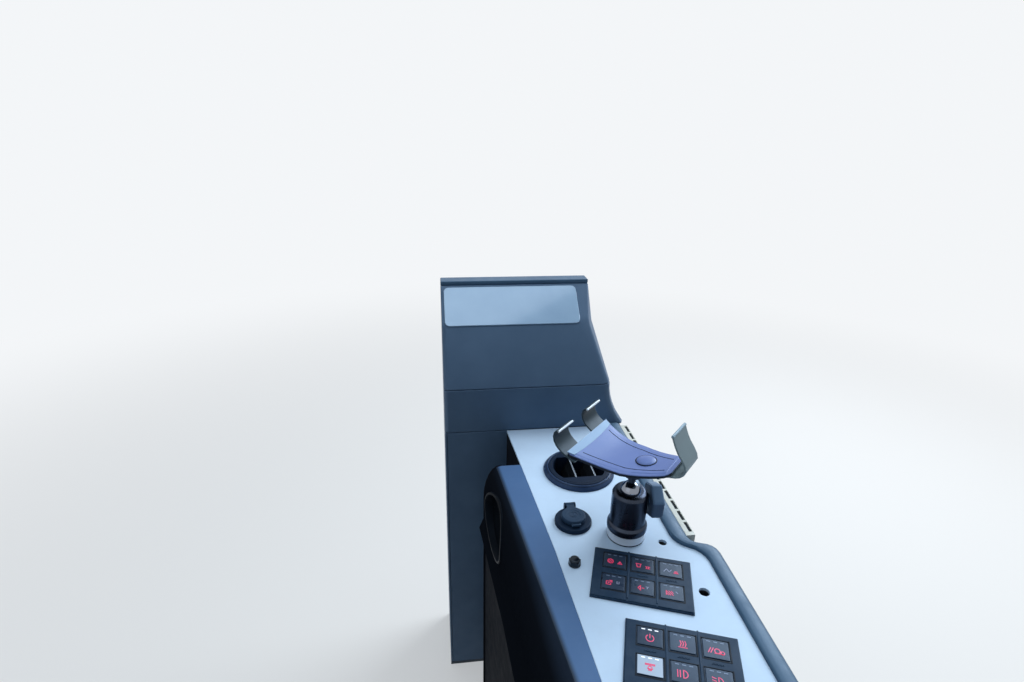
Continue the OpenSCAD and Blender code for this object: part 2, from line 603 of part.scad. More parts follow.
pad_lip = 3.5;              // how far a keypad laps over the plate round its hole
pad_under = 14;
key_drop = 1.7;
key_play = 0.25;
rib_w = 1.6;
rib_h = 0.7;
key_x0 = key_w / 2 + pad_side - pad_w / 2;
key_y0 = pad_l / 2 - pad_top - key_l / 2;
module at_pad(p) translate([p[0], p[1], deck_h]) rotate([0, 0, -pad_turn]) children();
// A block round the middle in plan, its sides drawn in by d, from z up
module block(w, l, d, z, h) translate([d - w / 2, d - l / 2, z]) cube([w - 2 * d, l - 2 * d, h]);
module key_places() for (i = [0:2], j = [0:1])
    translate([key_x0 + i * key_px, key_y0 - j * key_py, 0]) children();
module keypad_frame(p) color("#2c3138") at_pad(p) difference() {
    union() {
        block(pad_w, pad_l, 0, 0, pad_rise - 1);
        block(pad_w, pad_l, 1, 0, pad_rise);
        block(pad_w, pad_l, pad_lip + 0.5, -pad_under, pad_under + 1);
        for (i = [0.5, 1.5]) translate([key_x0 + i * key_px, 0, 0]) block(rib_w, pad_l, 0, 0, pad_rise + rib_h);
    }
    key_places() block(key_w, key_l, -key_play, -key_drop - seam, big);
    for (s = [-1, 1]) translate([0, s * (pad_l / 2), pad_rise]) block(pad_w, 2 * pad_lip, 0, 0, rib_h + 1);
}
module keypad_keys(p) color("#22262c") at_pad(p) key_places() {
    block(key_w, key_l, 0, -key_drop, key_drop + pad_rise - 0.5);
    block(key_w, key_l, edge, 0, pad_rise + 0.6);
}
module keypad_1_frame() keypad_frame(pad_1);
module keypad_2_frame() keypad_frame(pad_2);
module keypad_1_keys() keypad_keys(pad_1);
module keypad_2_keys() keypad_keys(pad_2);

// The phone holder: a foot, a body with a ball socket and its clamp knob
foot_screw_r = 4.2;
label_t = 0.85;
collar = 1;                 // the body's lower collar stands out over the foot
collar_h = 6;
neck_h = 4;
module at_holder() translate([holder_x, holder_y, deck_h]) children();
module holder_foot() color("#1a1c1f") at_holder() rotate_extrude($fn = 64)
    let(groove = foot_r - label_t - 0.05) polygon([[0, 0], [foot_r, 0], [foot_r, 1.4], [groove, 1.4],
        [groove, foot_h - edge], [foot_r, foot_h - edge], [foot_r, foot_h], [0, foot_h]]);
module holder_label() color("#f0f0ee") at_holder() rotate_extrude($fn = 64)
    translate([foot_r - label_t, 1.5]) square([label_t, foot_h - edge - 1.6]);
module holder_body() color("#202226") at_holder() difference() {
    rotate_extrude($fn = 64) polygon([[0, foot_h], [foot_r + collar - edge, foot_h], [foot_r + collar, foot_h + edge],
        [foot_r + collar, foot_h + collar_h], [foot_r, foot_h + collar_h + 2], [holder_r, foot_h + collar_h + neck_h],
        [holder_r, holder_top - 5], [holder_r - edge, holder_top - 3], [holder_r - 3 * edge, holder_top - 1],
        [ball_r + 2.4, holder_top], [0, holder_top]]);
    translate([0, 0, ball_z]) sphere(r = ball_r + run_gap, $fn = 64);
    at_clamp() translate([0, 0, pin_in - seam]) cylinder(r = stem_pin_r + run_gap, h = 2 * holder_r, $fn = 32);
}
module holder_ball() color("#c4c8cc") at_holder() translate([0, 0, ball_z]) difference() {
    sphere(r = ball_r, $fn = 64);
    cylinder(r = stem_pin_r + run_gap, h = ball_r + 1, $fn = 32);
}
clamp_from = holder_r + 1.2;    // inner face of the knob
clamp_corner = 4;
clamp_twist = 5;
pin_in = 8;                     // how near the body's middle the screw's end comes
module at_clamp() translate([0, 0, clamp_z]) rotate([0, 0, clamp_turn]) rotate([0, 90, 0]) children();
module clamp_plan(inset) offset(r = clamp_corner, $fn = 32)
    circle(r = clamp_d / 2 - clamp_corner - inset, $fn = 6);
module clamp_knob() color("#1b1c1f") at_holder() at_clamp() {
    translate([0, 0, pin_in]) cylinder(r = stem_pin_r, h = clamp_from - pin_in + 1, $fn = 32);
    translate([0, 0, holder_r + seam]) cylinder(r = 2 * stem_pin_r, h = clamp_from - holder_r - seam + 1, $fn = 48);
    rotate([0, 0, clamp_twist]) translate([0, 0, clamp_from]) {
        linear_extrude(1) clamp_plan(edge);
        translate([0, 0, 1]) linear_extrude(clamp_t - 2) clamp_plan(0);
        translate([0, 0, clamp_t - 1]) linear_extrude(1) clamp_plan(edge);
    }
}

// The cradle: a formed plate that widens to two fixed claws and narrows to the sliding claw.
// s runs along it from the stem to the sliding claw, p across.
sag_at = 50;
function surf(s) = cradle_sag * pow(s / sag_at, 2) + s * tan(cradle_lean);
function surf_lean(s) = atan(2 * cradle_sag * s / pow(sag_at, 2)) + cradle_lean;
function half(s) = s < 0 ? half_mid + (half_left - half_mid) * pow(s / arm_left, 2)
    : half_mid + (half_right - half_mid) * s / arm_right;
corner_left = 5;
corner_right = 6;
// How much a corner of radius r takes off the half width, d from the end
function corner(d, r) = d > r ? 0 : r - sqrt(r * r - (r - d) * (r - d));
border = 4.5;               // flat border round the raised middle
insert_h = 0.6;
function plate_section(s) = let(h = half(s) - corner(s + arm_left, corner_left) - corner(arm_right - s, corner_right),
        z = surf(s), up = min(s + arm_left, arm_right - s) > border + edge / 2 ? insert_h : 0)
    [for (p = [[-h, -cradle_t], [h, -cradle_t], [h, -edge], [h - edge, 0], [h - border, 0],
        [h - border - edge, up], [border + edge - h, up], [border - h, 0], [edge - h, 0], [-h, -edge]])
        [s, p[0], z + p[1]]];
end_steps = [0, 0.6, 2, border, border + edge, 2 * border];
stations = concat([for (d = end_steps) d - arm_left],
    [for (i = [1:8]) line_at(i, 0, 2 * border - arm_left, 9, arm_right - 2 * border)],
    [for (i = [len(end_steps) - 1:-1:0]) arm_right - end_steps[i]]);
module at_cradle() at_holder() rotate([0, 0, cradle_turn]) translate([0, 0, cradle_z]) children();
module cradle_plate() color("#2a2c33") at_cradle() skin([for (s = stations) plate_section(s)]);

boss_r = 11;
boss_t = 4;
stem_z = ball_z + ball_r;
module cradle_stem() color("#1d1f22") {
    at_holder() {
        translate([0, 0, ball_z + 0.6]) cylinder(r = stem_pin_r, h = ball_r, $fn = 32);
        translate([0, 0, stem_z + seam]) cylinder(r = stem_r, h = cradle_z - stem_z - 2 * boss_t, $fn = 32);
        translate([0, 0, stem_z + 2 * boss_t]) cylinder(r = boss_r - 2, h = cradle_z - stem_z - 4 * boss_t, $fn = 48);
    }
    at_cradle() rotate([0, -cradle_lean, 0]) translate([0, 0, -cradle_t - 0.1 - boss_t])
        cylinder(r = boss_r, h = boss_t, $fn = 48);
}

claw_t = 2;
// Line under the plate from depth d up to its end, measured from that end: out, and over its surface
function tongue(d, end, way, step) = [for (u = [-d:step:0])
    [u, surf(end + way * u) - surf(end) - cradle_t - 0.2 - claw_t * 0.6]];
claw_left_line = concat(tongue(10, -arm_left, -1, 5), [[4, -3.2], [8, -0.6], [12, 2.8], [15, 7.4],
    [16, claw_left_h - 7.5], [15.2, claw_left_h - 3.2], [13, claw_left_h - 0.6], [10.4, claw_left_h]]);
claw_right_line = concat(tongue(26, arm_right, 1, 4), [[3.6, -4.2], [7.6, -2.2], [11, 1.4], [12.8, 6],
    [11.4, 10.8], [7.9, 16.4], [3.6, claw_right_h - 15], [0.4, claw_right_h - 9.4], [-2.2, claw_right_h - 3.4],
    [-3.6, claw_right_h + 0.4]]);
module claw(line, w) rotate([90, 0, 0]) linear_extrude(w, center = true) polygon(band(line, claw_t));
claw_left_p = half_left - 0.5 - claw_w / 2;
claw_right_w = 31;
module fixed_claws() color("#8e928c") at_cradle() for (s = [-1, 1])
    translate([-arm_left, s * claw_left_p, surf(-arm_left)]) mirror([1, 0, 0]) claw(claw_left_line, claw_w);
module sliding_claw() color("#8e928c") at_cradle() translate([arm_right, 0, surf(arm_right)])
    claw(claw_right_line, claw_right_w);
screw_s = 12;
screw_r = 10;
screw_h = 2.6;
module cradle_screw() color("#3a3c42") at_cradle() translate([screw_s, 1.5, surf(screw_s) + insert_h + 0.5])
    rotate([0, -surf_lean(screw_s), 0]) rotate_extrude($fn = 48)
        polygon([for (a = [0:18:90]) [screw_r * cos(a), screw_h * sin(a)], [0, 0]]);

base_flange();
lower_inner_panel();
inner_side_panel();
speaker_bezel();
speaker_mesh();
step_panel();
notch_panel();
column_front_panel();
column_end_panel();
back_panel();
outer_panel();
near_end_panel();
deck_plate();
accessory_nuts();
edge_rim();
defroster_grille();
tower_lower_cover();
tower_upper_cover();
tower_top_panel();
tower_lip();
vent_bezel();
vent_barrel();
vent_vane_left();
vent_vane_right();
socket_body();
socket_cap();
push_knob();
keypad_1_frame();
keypad_1_keys();
keypad_2_frame();
keypad_2_keys();
holder_foot();
holder_label();
holder_body();
holder_ball();
cradle_stem();
cradle_plate();
fixed_claws();
sliding_claw();
cradle_screw();
clamp_knob();
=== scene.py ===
import bpy
import bmesh
import json
import math
from mathutils import Matrix, Vector


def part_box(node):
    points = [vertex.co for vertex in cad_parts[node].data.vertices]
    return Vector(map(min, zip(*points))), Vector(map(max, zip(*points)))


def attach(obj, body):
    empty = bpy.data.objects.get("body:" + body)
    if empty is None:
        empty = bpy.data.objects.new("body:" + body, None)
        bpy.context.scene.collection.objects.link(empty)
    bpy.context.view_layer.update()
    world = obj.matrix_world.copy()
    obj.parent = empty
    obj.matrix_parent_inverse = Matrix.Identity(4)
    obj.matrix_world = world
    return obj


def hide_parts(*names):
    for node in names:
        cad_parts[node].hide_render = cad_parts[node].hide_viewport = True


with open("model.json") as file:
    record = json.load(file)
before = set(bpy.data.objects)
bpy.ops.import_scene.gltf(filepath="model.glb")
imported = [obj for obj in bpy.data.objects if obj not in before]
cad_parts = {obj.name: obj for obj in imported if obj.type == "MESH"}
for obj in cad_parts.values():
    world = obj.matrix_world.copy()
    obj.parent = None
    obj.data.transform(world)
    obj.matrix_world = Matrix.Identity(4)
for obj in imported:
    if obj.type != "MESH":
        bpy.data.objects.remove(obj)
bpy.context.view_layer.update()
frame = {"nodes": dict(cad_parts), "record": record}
nodes = frame["nodes"]
slots = {s["node"]: s["material_slot"] for s in frame["record"]["subparts"]}
bodyOf = {n: b for b, names in frame["record"]["behaviour"]["bodies"].items() for n in names}
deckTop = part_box("deck_plate")[1][2]
mm = 0.001
print("frame loaded,", len(nodes), "nodes")

# camera, solved from the flat plate's outlines in the photograph
camera = {
    "place": (-0.1759, -0.4744, 0.8684),
    "turn": (-8.07, 68.1, 1.26),  # degrees about Z, up from straight down, and about the view
    "lens": 20.0,
    "sensor": 36.0,
    "nearest": 0.02,
}


def makeCamera(d):
    data = bpy.data.cameras.new("camera")
    data.lens = d["lens"]
    data.sensor_width = d["sensor"]
    data.clip_start = d["nearest"]
    cam = bpy.data.objects.new("camera", data)
    yaw, tilt, roll = (math.radians(a) for a in d["turn"])
    turn = Matrix.Rotation(yaw, 4, "Z") @ Matrix.Rotation(tilt, 4, "X") @ Matrix.Rotation(roll, 4, "Z")
    cam.matrix_world = Matrix.Translation(d["place"]) @ turn
    bpy.context.scene.collection.objects.link(cam)
    bpy.context.scene.camera = cam


# shader nodes: a value handed to them is a number, a vector, a colour or the socket that it comes from

def feed(tree, socket, value):
    if isinstance(value, bpy.types.NodeSocket):
        tree.links.new(value, socket)
    else:
        socket.default_value = value


def addMath(tree, operation, *values, clamp=False):
    node = tree.nodes.new("ShaderNodeMath")
    node.operation = operation
    node.use_clamp = clamp
    for socket, value in zip(node.inputs, values):
        feed(tree, socket, value)
    return node.outputs[0]


def addDot(tree, a, b):
    node = tree.nodes.new("ShaderNodeVectorMath")
    node.operation = "DOT_PRODUCT"
    feed(tree, node.inputs[0], a)
    feed(tree, node.inputs[1], b)
    return node.outputs["Value"]


def addRange(tree, value, start, end, low=0.0, high=1.0, curve="LINEAR"):
    # low where the value is at the start and before it, high at the end and past it
    node = tree.nodes.new("ShaderNodeMapRange")
    node.interpolation_type = curve
    given = {"Value": value, "From Min": start, "From Max": end, "To Min": low, "To Max": high}
    for label, number in given.items():
        feed(tree, node.inputs[label], number)
    return node.outputs["Result"]


def addTexture(tree, kind, size, **settings):
    # a pattern over Object coordinates, in lumps of about the given size in metres
    texture = tree.nodes.new(kind)
    feed(tree, texture.inputs["Vector"], tree.nodes.new("ShaderNodeTexCoord").outputs["Object"])
    feed(tree, texture.inputs["Scale"], addMath(tree, "DIVIDE", 1.0, size))
    for label, value in settings.items():
        texture.inputs[label].default_value = value
    return texture


def faceUp(tree):
    # how far a face looks up: 1 straight up, 0 sideways, -1 straight down
    split = tree.nodes.new("ShaderNodeSeparateXYZ")
    feed(tree, split.inputs[0], tree.nodes.new("ShaderNodeTexCoord").outputs["Normal"])
    return split.outputs["Z"]


def mixColour(tree, mask, a, b):
    mix = tree.nodes.new("ShaderNodeMix")
    mix.data_type = "RGBA"
    feed(tree, mix.inputs["Factor"], mask)
    for label, value in (("A", a), ("B", b)):
        socket = next(s for s in mix.inputs if s.name == label and s.type == "RGBA")
        feed(tree, socket, (*value, 1) if isinstance(value, tuple) else value)
    return next(s for s in mix.outputs if s.type == "RGBA")


# shader groups that the finishes share, each with numbers in and one number out

def startGroup(name, result, **inputs):
    group = bpy.data.node_groups.new(name, "ShaderNodeTree")
    for label, value in inputs.items():
        group.interface.new_socket(label, in_out="INPUT", socket_type="NodeSocketFloat").default_value = value
    group.interface.new_socket(result, in_out="OUTPUT", socket_type="NodeSocketFloat")
    return group, group.nodes.new("NodeGroupInput").outputs, group.nodes.new("NodeGroupOutput").inputs


def mottleGroup():
    # slow change of tone over a surface, 0 to 1
    group, given, out = startGroup("mottle", "Mask", Size=0.05, Contrast=1.0)
    noise = addTexture(group, "ShaderNodeTexNoise", given["Size"], Detail=4.0).outputs["Fac"]
    shift = addMath(group, "MULTIPLY_ADD", given["Contrast"], -0.5, 0.5)
    feed(group, out["Mask"], addMath(group, "MULTIPLY_ADD", noise, given["Contrast"], shift, clamp=True))
    return group


def grainGroup():
    # the fine texture of moulded plastic or powder coat, as a height
    group, given, out = startGroup("grain", "Height", Size=0.0008, Cells=0.5)
    noise = addTexture(group, "ShaderNodeTexNoise", given["Size"], Detail=2.0)
    cells = addTexture(group, "ShaderNodeTexVoronoi", given["Size"])
    cells.feature = "SMOOTH_F1"
    blend = group.nodes.new("ShaderNodeMix")
    feed(group, blend.inputs["Factor"], given["Cells"])
    feed(group, blend.inputs["A"], noise.outputs["Fac"])
    feed(group, blend.inputs["B"], cells.outputs["Distance"])
    feed(group, out["Height"], blend.outputs["Result"])
    return group


def wearGroup():
    # edges that use has rubbed, 0 to 1
    bent = (0.995, 0.88)  # cosine of the turn from a face to its rounded copy: none, full
    patches = (0.38, 0.62)
    group, given, out = startGroup("edgeWear", "Mask", Width=0.001, Break=0.006)
    rounded = group.nodes.new("ShaderNodeBevel")
    rounded.samples = 4
    feed(group, rounded.inputs["Radius"], given["Width"])
    flat = group.nodes.new("ShaderNodeNewGeometry")
    bend = addRange(group, addDot(group, rounded.outputs["Normal"], flat.outputs["Normal"]), *bent)
    noise = addTexture(group, "ShaderNodeTexNoise", given["Break"], Detail=5.0).outputs["Fac"]
    feed(group, out["Mask"], addMath(group, "MULTIPLY", bend, addRange(group, noise, *patches)))
    return group


def dustGroup():
    # fine dust that lies on faces that look up, 0 to 1
    upright = (0.4, 1.0)  # faceUp's value: none, full
    patches = (0.42, 0.75)
    group, given, out = startGroup("dust", "Mask", Size=0.02, Amount=0.3)
    noise = addTexture(group, "ShaderNodeTexNoise", given["Size"], Detail=8.0, Roughness=0.7).outputs["Fac"]
    upper = addRange(group, faceUp(group), *upright)
    lying = addMath(group, "MULTIPLY", upper, addRange(group, noise, *patches))
    feed(group, out["Mask"], addMath(group, "MULTIPLY", lying, given["Amount"]))
    return group


def shadedSideGroup():
    # painted shade: faces that don't look up, 0 to 1, by faceUp's value
    group, given, out = startGroup("side", "Mask", Start=0.9, Full=0.6)
    feed(group, out["Mask"], addRange(group, faceUp(group), given["Start"], given["Full"]))
    return group


groups = {
    "mottle": mottleGroup(),
    "grain": grainGroup(),
    "wear": wearGroup(),
    "dust": dustGroup(),
    "side": shadedSideGroup(),
}


def addGroup(tree, kind, **values):
    node = tree.nodes.new("ShaderNodeGroup")
    node.node_tree = groups[kind]
    for label, value in values.items():
        node.inputs[label].default_value = value
    return node.outputs[0]


creaseWay = (-0.995, -0.1, 0.0)  # across the crease along the side panel's top, away from the plate

# one finish: the two tones it wanders between, roughness low and high, size and depth of the grain in metres,
# tone and strength of worn edges, and where it has them dust, metal, coat, shine, tint of the shine and glow,
# sides: another tone on faces that don't look up, a painted shade, and the values of faceUp where it starts
# and is full,
# fade: a way over the surface, where another tone starts along it and where it is full, and that tone, a
# painted shade
finishes = {
    "flange_steel": {
        "tones": ((0.016, 0.02, 0.026), (0.036, 0.042, 0.05)), "rough": (0.4, 0.6), "grain": 0.0009,
        "depth": 0.00005, "worn": (0.26, 0.27, 0.29), "wear": 0.5, "dust": 0.2,
    },
    "housing_black": {
        "tones": ((0.005, 0.006, 0.009), (0.011, 0.013, 0.018)), "rough": (0.55, 0.7), "grain": 0.0011,
        "depth": 0.0001, "worn": (0.04, 0.05, 0.065), "wear": 0.4, "shine": 0.01,
    },
    # the side panel's top strip: lighter than the panel's own satin black, a painted sky reflection, with a
    # painted shade fading in towards the crease
    "panel_black": {
        "tones": ((0.056, 0.116, 0.24), (0.07, 0.14, 0.28)), "rough": (0.32, 0.44), "grain": 0.0007,
        "depth": 0.00003, "worn": (0.1, 0.17, 0.28), "wear": 0.25, "dust": 0.03, "shine": 0.25,
        "fade": (creaseWay, 0.087, 0.0925, (0.0105, 0.016, 0.027)),
    },
    # the side panel's sides and its top beyond the crease: a darker copy of its finish, painted shade, with a
    # still darker painted shade on faces that don't look up
    "side_black": {
        "tones": ((0.009, 0.014, 0.023), (0.014, 0.02, 0.032)), "rough": (0.4, 0.5), "grain": 0.0007,
        "depth": 0.00003, "worn": (0.03, 0.045, 0.07), "wear": 0.3, "shine": 0.0,
        "sides": ((0.0065, 0.008, 0.0115), 0.9, 0.6),
    },
    "speaker_black": {
        "tones": ((0.003, 0.0045, 0.007), (0.006, 0.008, 0.012)), "rough": (0.3, 0.42), "grain": 0.0007,
        "depth": 0.00003, "worn": (0.03, 0.04, 0.06), "wear": 0.5, "shine": 0.02,
    },
    "tower_grey": {
        "tones": ((0.053, 0.093, 0.155), (0.07, 0.118, 0.19)), "rough": (0.4, 0.56), "grain": 0.0008,
        "depth": 0.00006, "worn": (0.15, 0.23, 0.32), "wear": 0.45, "dust": 0.05, "shine": 0.4,
    },
    # the tower's glossy top panel: its pale blue tones are partly a painted sky reflection
    "tower_gloss": {
        "tones": ((0.22, 0.35, 0.5), (0.27, 0.41, 0.56)), "rough": (0.1, 0.2), "grain": 0.004,
        "depth": 0.00001, "worn": (0.45, 0.58, 0.7), "wear": 0.3, "coat": 0.8,
    },
    "deck_paint": {
        "tones": ((0.49, 0.625, 0.78), (0.54, 0.675, 0.825)), "rough": (0.34, 0.46), "grain": 0.0006,
        "depth": 0.000025, "worn": (0.38, 0.46, 0.56), "wear": 0.35, "dust": 0.1, "shine": 0.25,
    },
    "nut_zinc": {
        "tones": ((0.07, 0.08, 0.09), (0.12, 0.13, 0.15)), "rough": (0.35, 0.5), "grain": 0.0006,
        "depth": 0.00002, "worn": (0.4, 0.41, 0.43), "wear": 0.3, "metal": 1.0,
    },
    "rim_grey": {
        "tones": ((0.04, 0.085, 0.145), (0.056, 0.11, 0.178)), "rough": (0.36, 0.5), "grain": 0.0009,
        "depth": 0.00007, "worn": (0.16, 0.25, 0.35), "wear": 0.4, "dust": 0.06, "shine": 0.35,
    },
    "grille_bone": {
        "tones": ((0.5, 0.5, 0.43), (0.6, 0.6, 0.53)), "rough": (0.4, 0.55), "grain": 0.0008,
        "depth": 0.00004, "worn": (0.7, 0.7, 0.64), "wear": 0.4, "dust": 0.1,
    },
    # the vent ring: lighter and bluer than its own blue-black, partly a painted sheen for the reflection on
    # its slopes
    "vent_black": {
        "tones": ((0.016, 0.033, 0.078), (0.026, 0.049, 0.108)), "rough": (0.2, 0.3), "grain": 0.0007,
        "depth": 0.00003, "worn": (0.06, 0.1, 0.18), "wear": 0.3, "dust": 0.03, "shine": 0.2,
    },
    "barrel_black": {
        "tones": ((0.006, 0.012, 0.027), (0.01, 0.019, 0.04)), "rough": (0.3, 0.42), "grain": 0.0007,
        "depth": 0.00003, "worn": (0.04, 0.07, 0.13), "wear": 0.3, "shine": 0.12,
    },
    "vane_black": {
        "tones": ((0.003, 0.004, 0.005), (0.006, 0.007, 0.009)), "rough": (0.35, 0.5), "grain": 0.0007,
        "depth": 0.00003, "worn": (0.06, 0.065, 0.07), "wear": 0.5, "shine": 0.2,
    },
    "mesh_black": {
        "tones": ((0.003, 0.004, 0.006), (0.007, 0.009, 0.012)), "rough": (0.4, 0.6), "grain": 0.0018,
        "depth": 0.0006, "worn": (0.02, 0.025, 0.03), "wear": 0.3, "shine": 0.0,
    },
    "socket_black": {
        "tones": ((0.006, 0.016, 0.036), (0.011, 0.024, 0.05)), "rough": (0.28, 0.4), "grain": 0.0007,
        "depth": 0.00003, "worn": (0.05, 0.09, 0.16), "wear": 0.4, "dust": 0.03, "shine": 0.08,
    },
    "cap_rubber": {
        "tones": ((0.015, 0.033, 0.064), (0.023, 0.046, 0.085)), "rough": (0.46, 0.58), "grain": 0.0006,
        "depth": 0.00006, "worn": (0.07, 0.12, 0.18), "wear": 0.45, "dust": 0.05, "shine": 0.12,
    },
    "knob_gloss": {
        "tones": ((0.003, 0.005, 0.009), (0.006, 0.009, 0.015)), "rough": (0.06, 0.12), "grain": 0.002,
        "depth": 0.00001, "worn": (0.05, 0.07, 0.1), "wear": 0.3, "shine": 0.3, "coat": 0.1,
    },
    "keypad_slate": {
        "tones": ((0.008, 0.022, 0.047), (0.014, 0.033, 0.065)), "rough": (0.38, 0.52), "grain": 0.0006,
        "depth": 0.00005, "worn": (0.07, 0.13, 0.21), "wear": 0.5, "dust": 0.05, "shine": 0.15,
    },
    "key_slate": {
        "tones": ((0.012, 0.021, 0.042), (0.028, 0.047, 0.08)), "rough": (0.26, 0.38), "grain": 0.0005,
        "depth": 0.00002, "worn": (0.11, 0.17, 0.26), "wear": 0.6, "dust": 0.05, "shine": 0.3,
    },
    "label_white": {
        "tones": ((0.74, 0.8, 0.88), (0.82, 0.86, 0.92)), "rough": (0.28, 0.4), "grain": 0.001,
        "depth": 0.00001, "worn": (0.5, 0.53, 0.58), "wear": 0.3, "dust": 0.15,
    },
    "holder_black": {
        "tones": ((0.032, 0.04, 0.058), (0.044, 0.054, 0.076)), "rough": (0.24, 0.34), "grain": 0.0005,
        "depth": 0.00002, "worn": (0.08, 0.1, 0.14), "wear": 0.5, "metal": 1.0, "tint": (0.8, 0.88, 1.0),
    },
    "ball_chrome": {
        "tones": ((0.2, 0.22, 0.26), (0.28, 0.3, 0.35)), "rough": (0.06, 0.16), "grain": 0.002,
        "depth": 0.00001, "worn": (0.6, 0.62, 0.66), "wear": 0.3, "metal": 1.0,
    },
    "cradle_gloss": {
        "tones": ((0.1, 0.15, 0.36), (0.13, 0.185, 0.41)), "rough": (0.3, 0.42), "grain": 0.0006,
        "depth": 0.00002, "worn": (0.16, 0.2, 0.36), "wear": 0.4, "dust": 0.04, "shine": 0.3,
        # painted shade on the plate's faces that don't look up
        "sides": ((0.005, 0.007, 0.012), 0.55, 0.35),
    },
    "cradle_base": {
        "tones": ((0.16, 0.27, 0.42), (0.21, 0.33, 0.49)), "rough": (0.26, 0.36), "grain": 0.0007,
        "depth": 0.00002, "worn": (0.3, 0.42, 0.55), "wear": 0.3, "shine": 0.3,
    },
    "claw_metal": {
        "tones": ((0.12, 0.165, 0.18), (0.18, 0.235, 0.25)), "rough": (0.26, 0.4), "grain": 0.0008,
        "depth": 0.00004, "worn": (0.62, 0.7, 0.72), "wear": 0.9, "metal": 0.3, "dust": 0.08,
    },
    # the fixed claws: a darker copy of claw_metal, painted shade
    "claw_dark": {
        "tones": ((0.018, 0.031, 0.042), (0.032, 0.052, 0.066)), "rough": (0.3, 0.42), "grain": 0.0008,
        "depth": 0.00004, "worn": (0.3, 0.38, 0.42), "wear": 0.4, "shine": 0.2,
    },
    "claw_bright": {
        "tones": ((0.68, 0.75, 0.8), (0.78, 0.84, 0.88)), "rough": (0.2, 0.32), "grain": 0.0008,
        "depth": 0.00003, "worn": (0.85, 0.9, 0.94), "wear": 0.5,
    },
    "claw_pad": {
        "tones": ((0.22, 0.31, 0.37), (0.28, 0.38, 0.45)), "rough": (0.4, 0.55), "grain": 0.0007,
        "depth": 0.00005, "worn": (0.36, 0.43, 0.48), "wear": 0.4, "dust": 0.06, "shine": 0.3,
    },
    # the clamp knob: its tones are those of its lit upper faces, and the sides tone is a painted shade on its
    # lower faces
    "clamp_black": {
        "tones": ((0.12, 0.2, 0.32), (0.155, 0.245, 0.38)), "rough": (0.42, 0.56), "grain": 0.0008,
        "depth": 0.00008, "worn": (0.2, 0.28, 0.38), "wear": 0.4, "dust": 0.08, "shine": 0.3,
        "sides": ((0.062, 0.1, 0.168), 0.35, -0.05),
    },
    # near-black for grooves, seams and engraved lines, and for painted shade: the key shadows, the ring under
    # the cradle screw and the grille slots
    "rubber_edge": {
        "tones": ((0.003, 0.004, 0.006), (0.006, 0.007, 0.01)), "rough": (0.5, 0.65), "grain": 0.0007,
        "depth": 0.00004, "worn": (0.03, 0.035, 0.04), "wear": 0.3, "shine": 0.2,
    },
    # pale strip on each vane's top edge: a painted highlight
    "vane_edge": {
        "tones": ((0.11, 0.135, 0.17), (0.17, 0.2, 0.245)), "rough": (0.3, 0.4), "grain": 0.0007,
        "depth": 0.00002, "worn": (0.5, 0.55, 0.6), "wear": 0.3,
    },
    "sign_pink": {
        "tones": ((0.62, 0.03, 0.1), (0.75, 0.06, 0.16)), "rough": (0.35, 0.5), "grain": 0.001,
        "depth": 0.00001, "worn": (0.8, 0.25, 0.33), "wear": 0.2, "glow": 0.3,
    },
    "sign_grey": {
        "tones": ((0.24, 0.26, 0.4), (0.32, 0.34, 0.48)), "rough": (0.35, 0.5), "grain": 0.001,
        "depth": 0.00001, "worn": (0.55, 0.57, 0.66), "wear": 0.2,
    },
    "lamp_white": {
        "tones": ((0.85, 0.88, 0.95), (0.95, 0.97, 1.0)), "rough": (0.3, 0.4), "grain": 0.001,
        "depth": 0.00001, "worn": (0.9, 0.9, 1.0), "wear": 0.2, "glow": 0.5,
    },
    "lamp_dim": {
        "tones": ((0.11, 0.15, 0.23), (0.17, 0.22, 0.32)), "rough": (0.3, 0.4), "grain": 0.001,
        "depth": 0.00001, "worn": (0.35, 0.4, 0.48), "wear": 0.2,
    },
    "key_lit": {
        "tones": ((0.36, 0.44, 0.54), (0.44, 0.52, 0.62)), "rough": (0.35, 0.45), "grain": 0.0005,
        "depth": 0.00002, "worn": (0.6, 0.67, 0.75), "wear": 0.4,
    },
}

# what all finishes share: size and contrast of the changes in tone and in roughness, and the rest by name
common = {
    "mottle": {"Size": 0.045, "Contrast": 1.6},
    "smear": {"Size": 0.012, "Contrast": 2.2},
    "wornWidth": 0.0007,
    "dustTone": (0.3, 0.34, 0.39),
    "coatRough": 0.08,
    "shine": 0.5,
    "tint": (0.55, 0.76, 1.0),
}


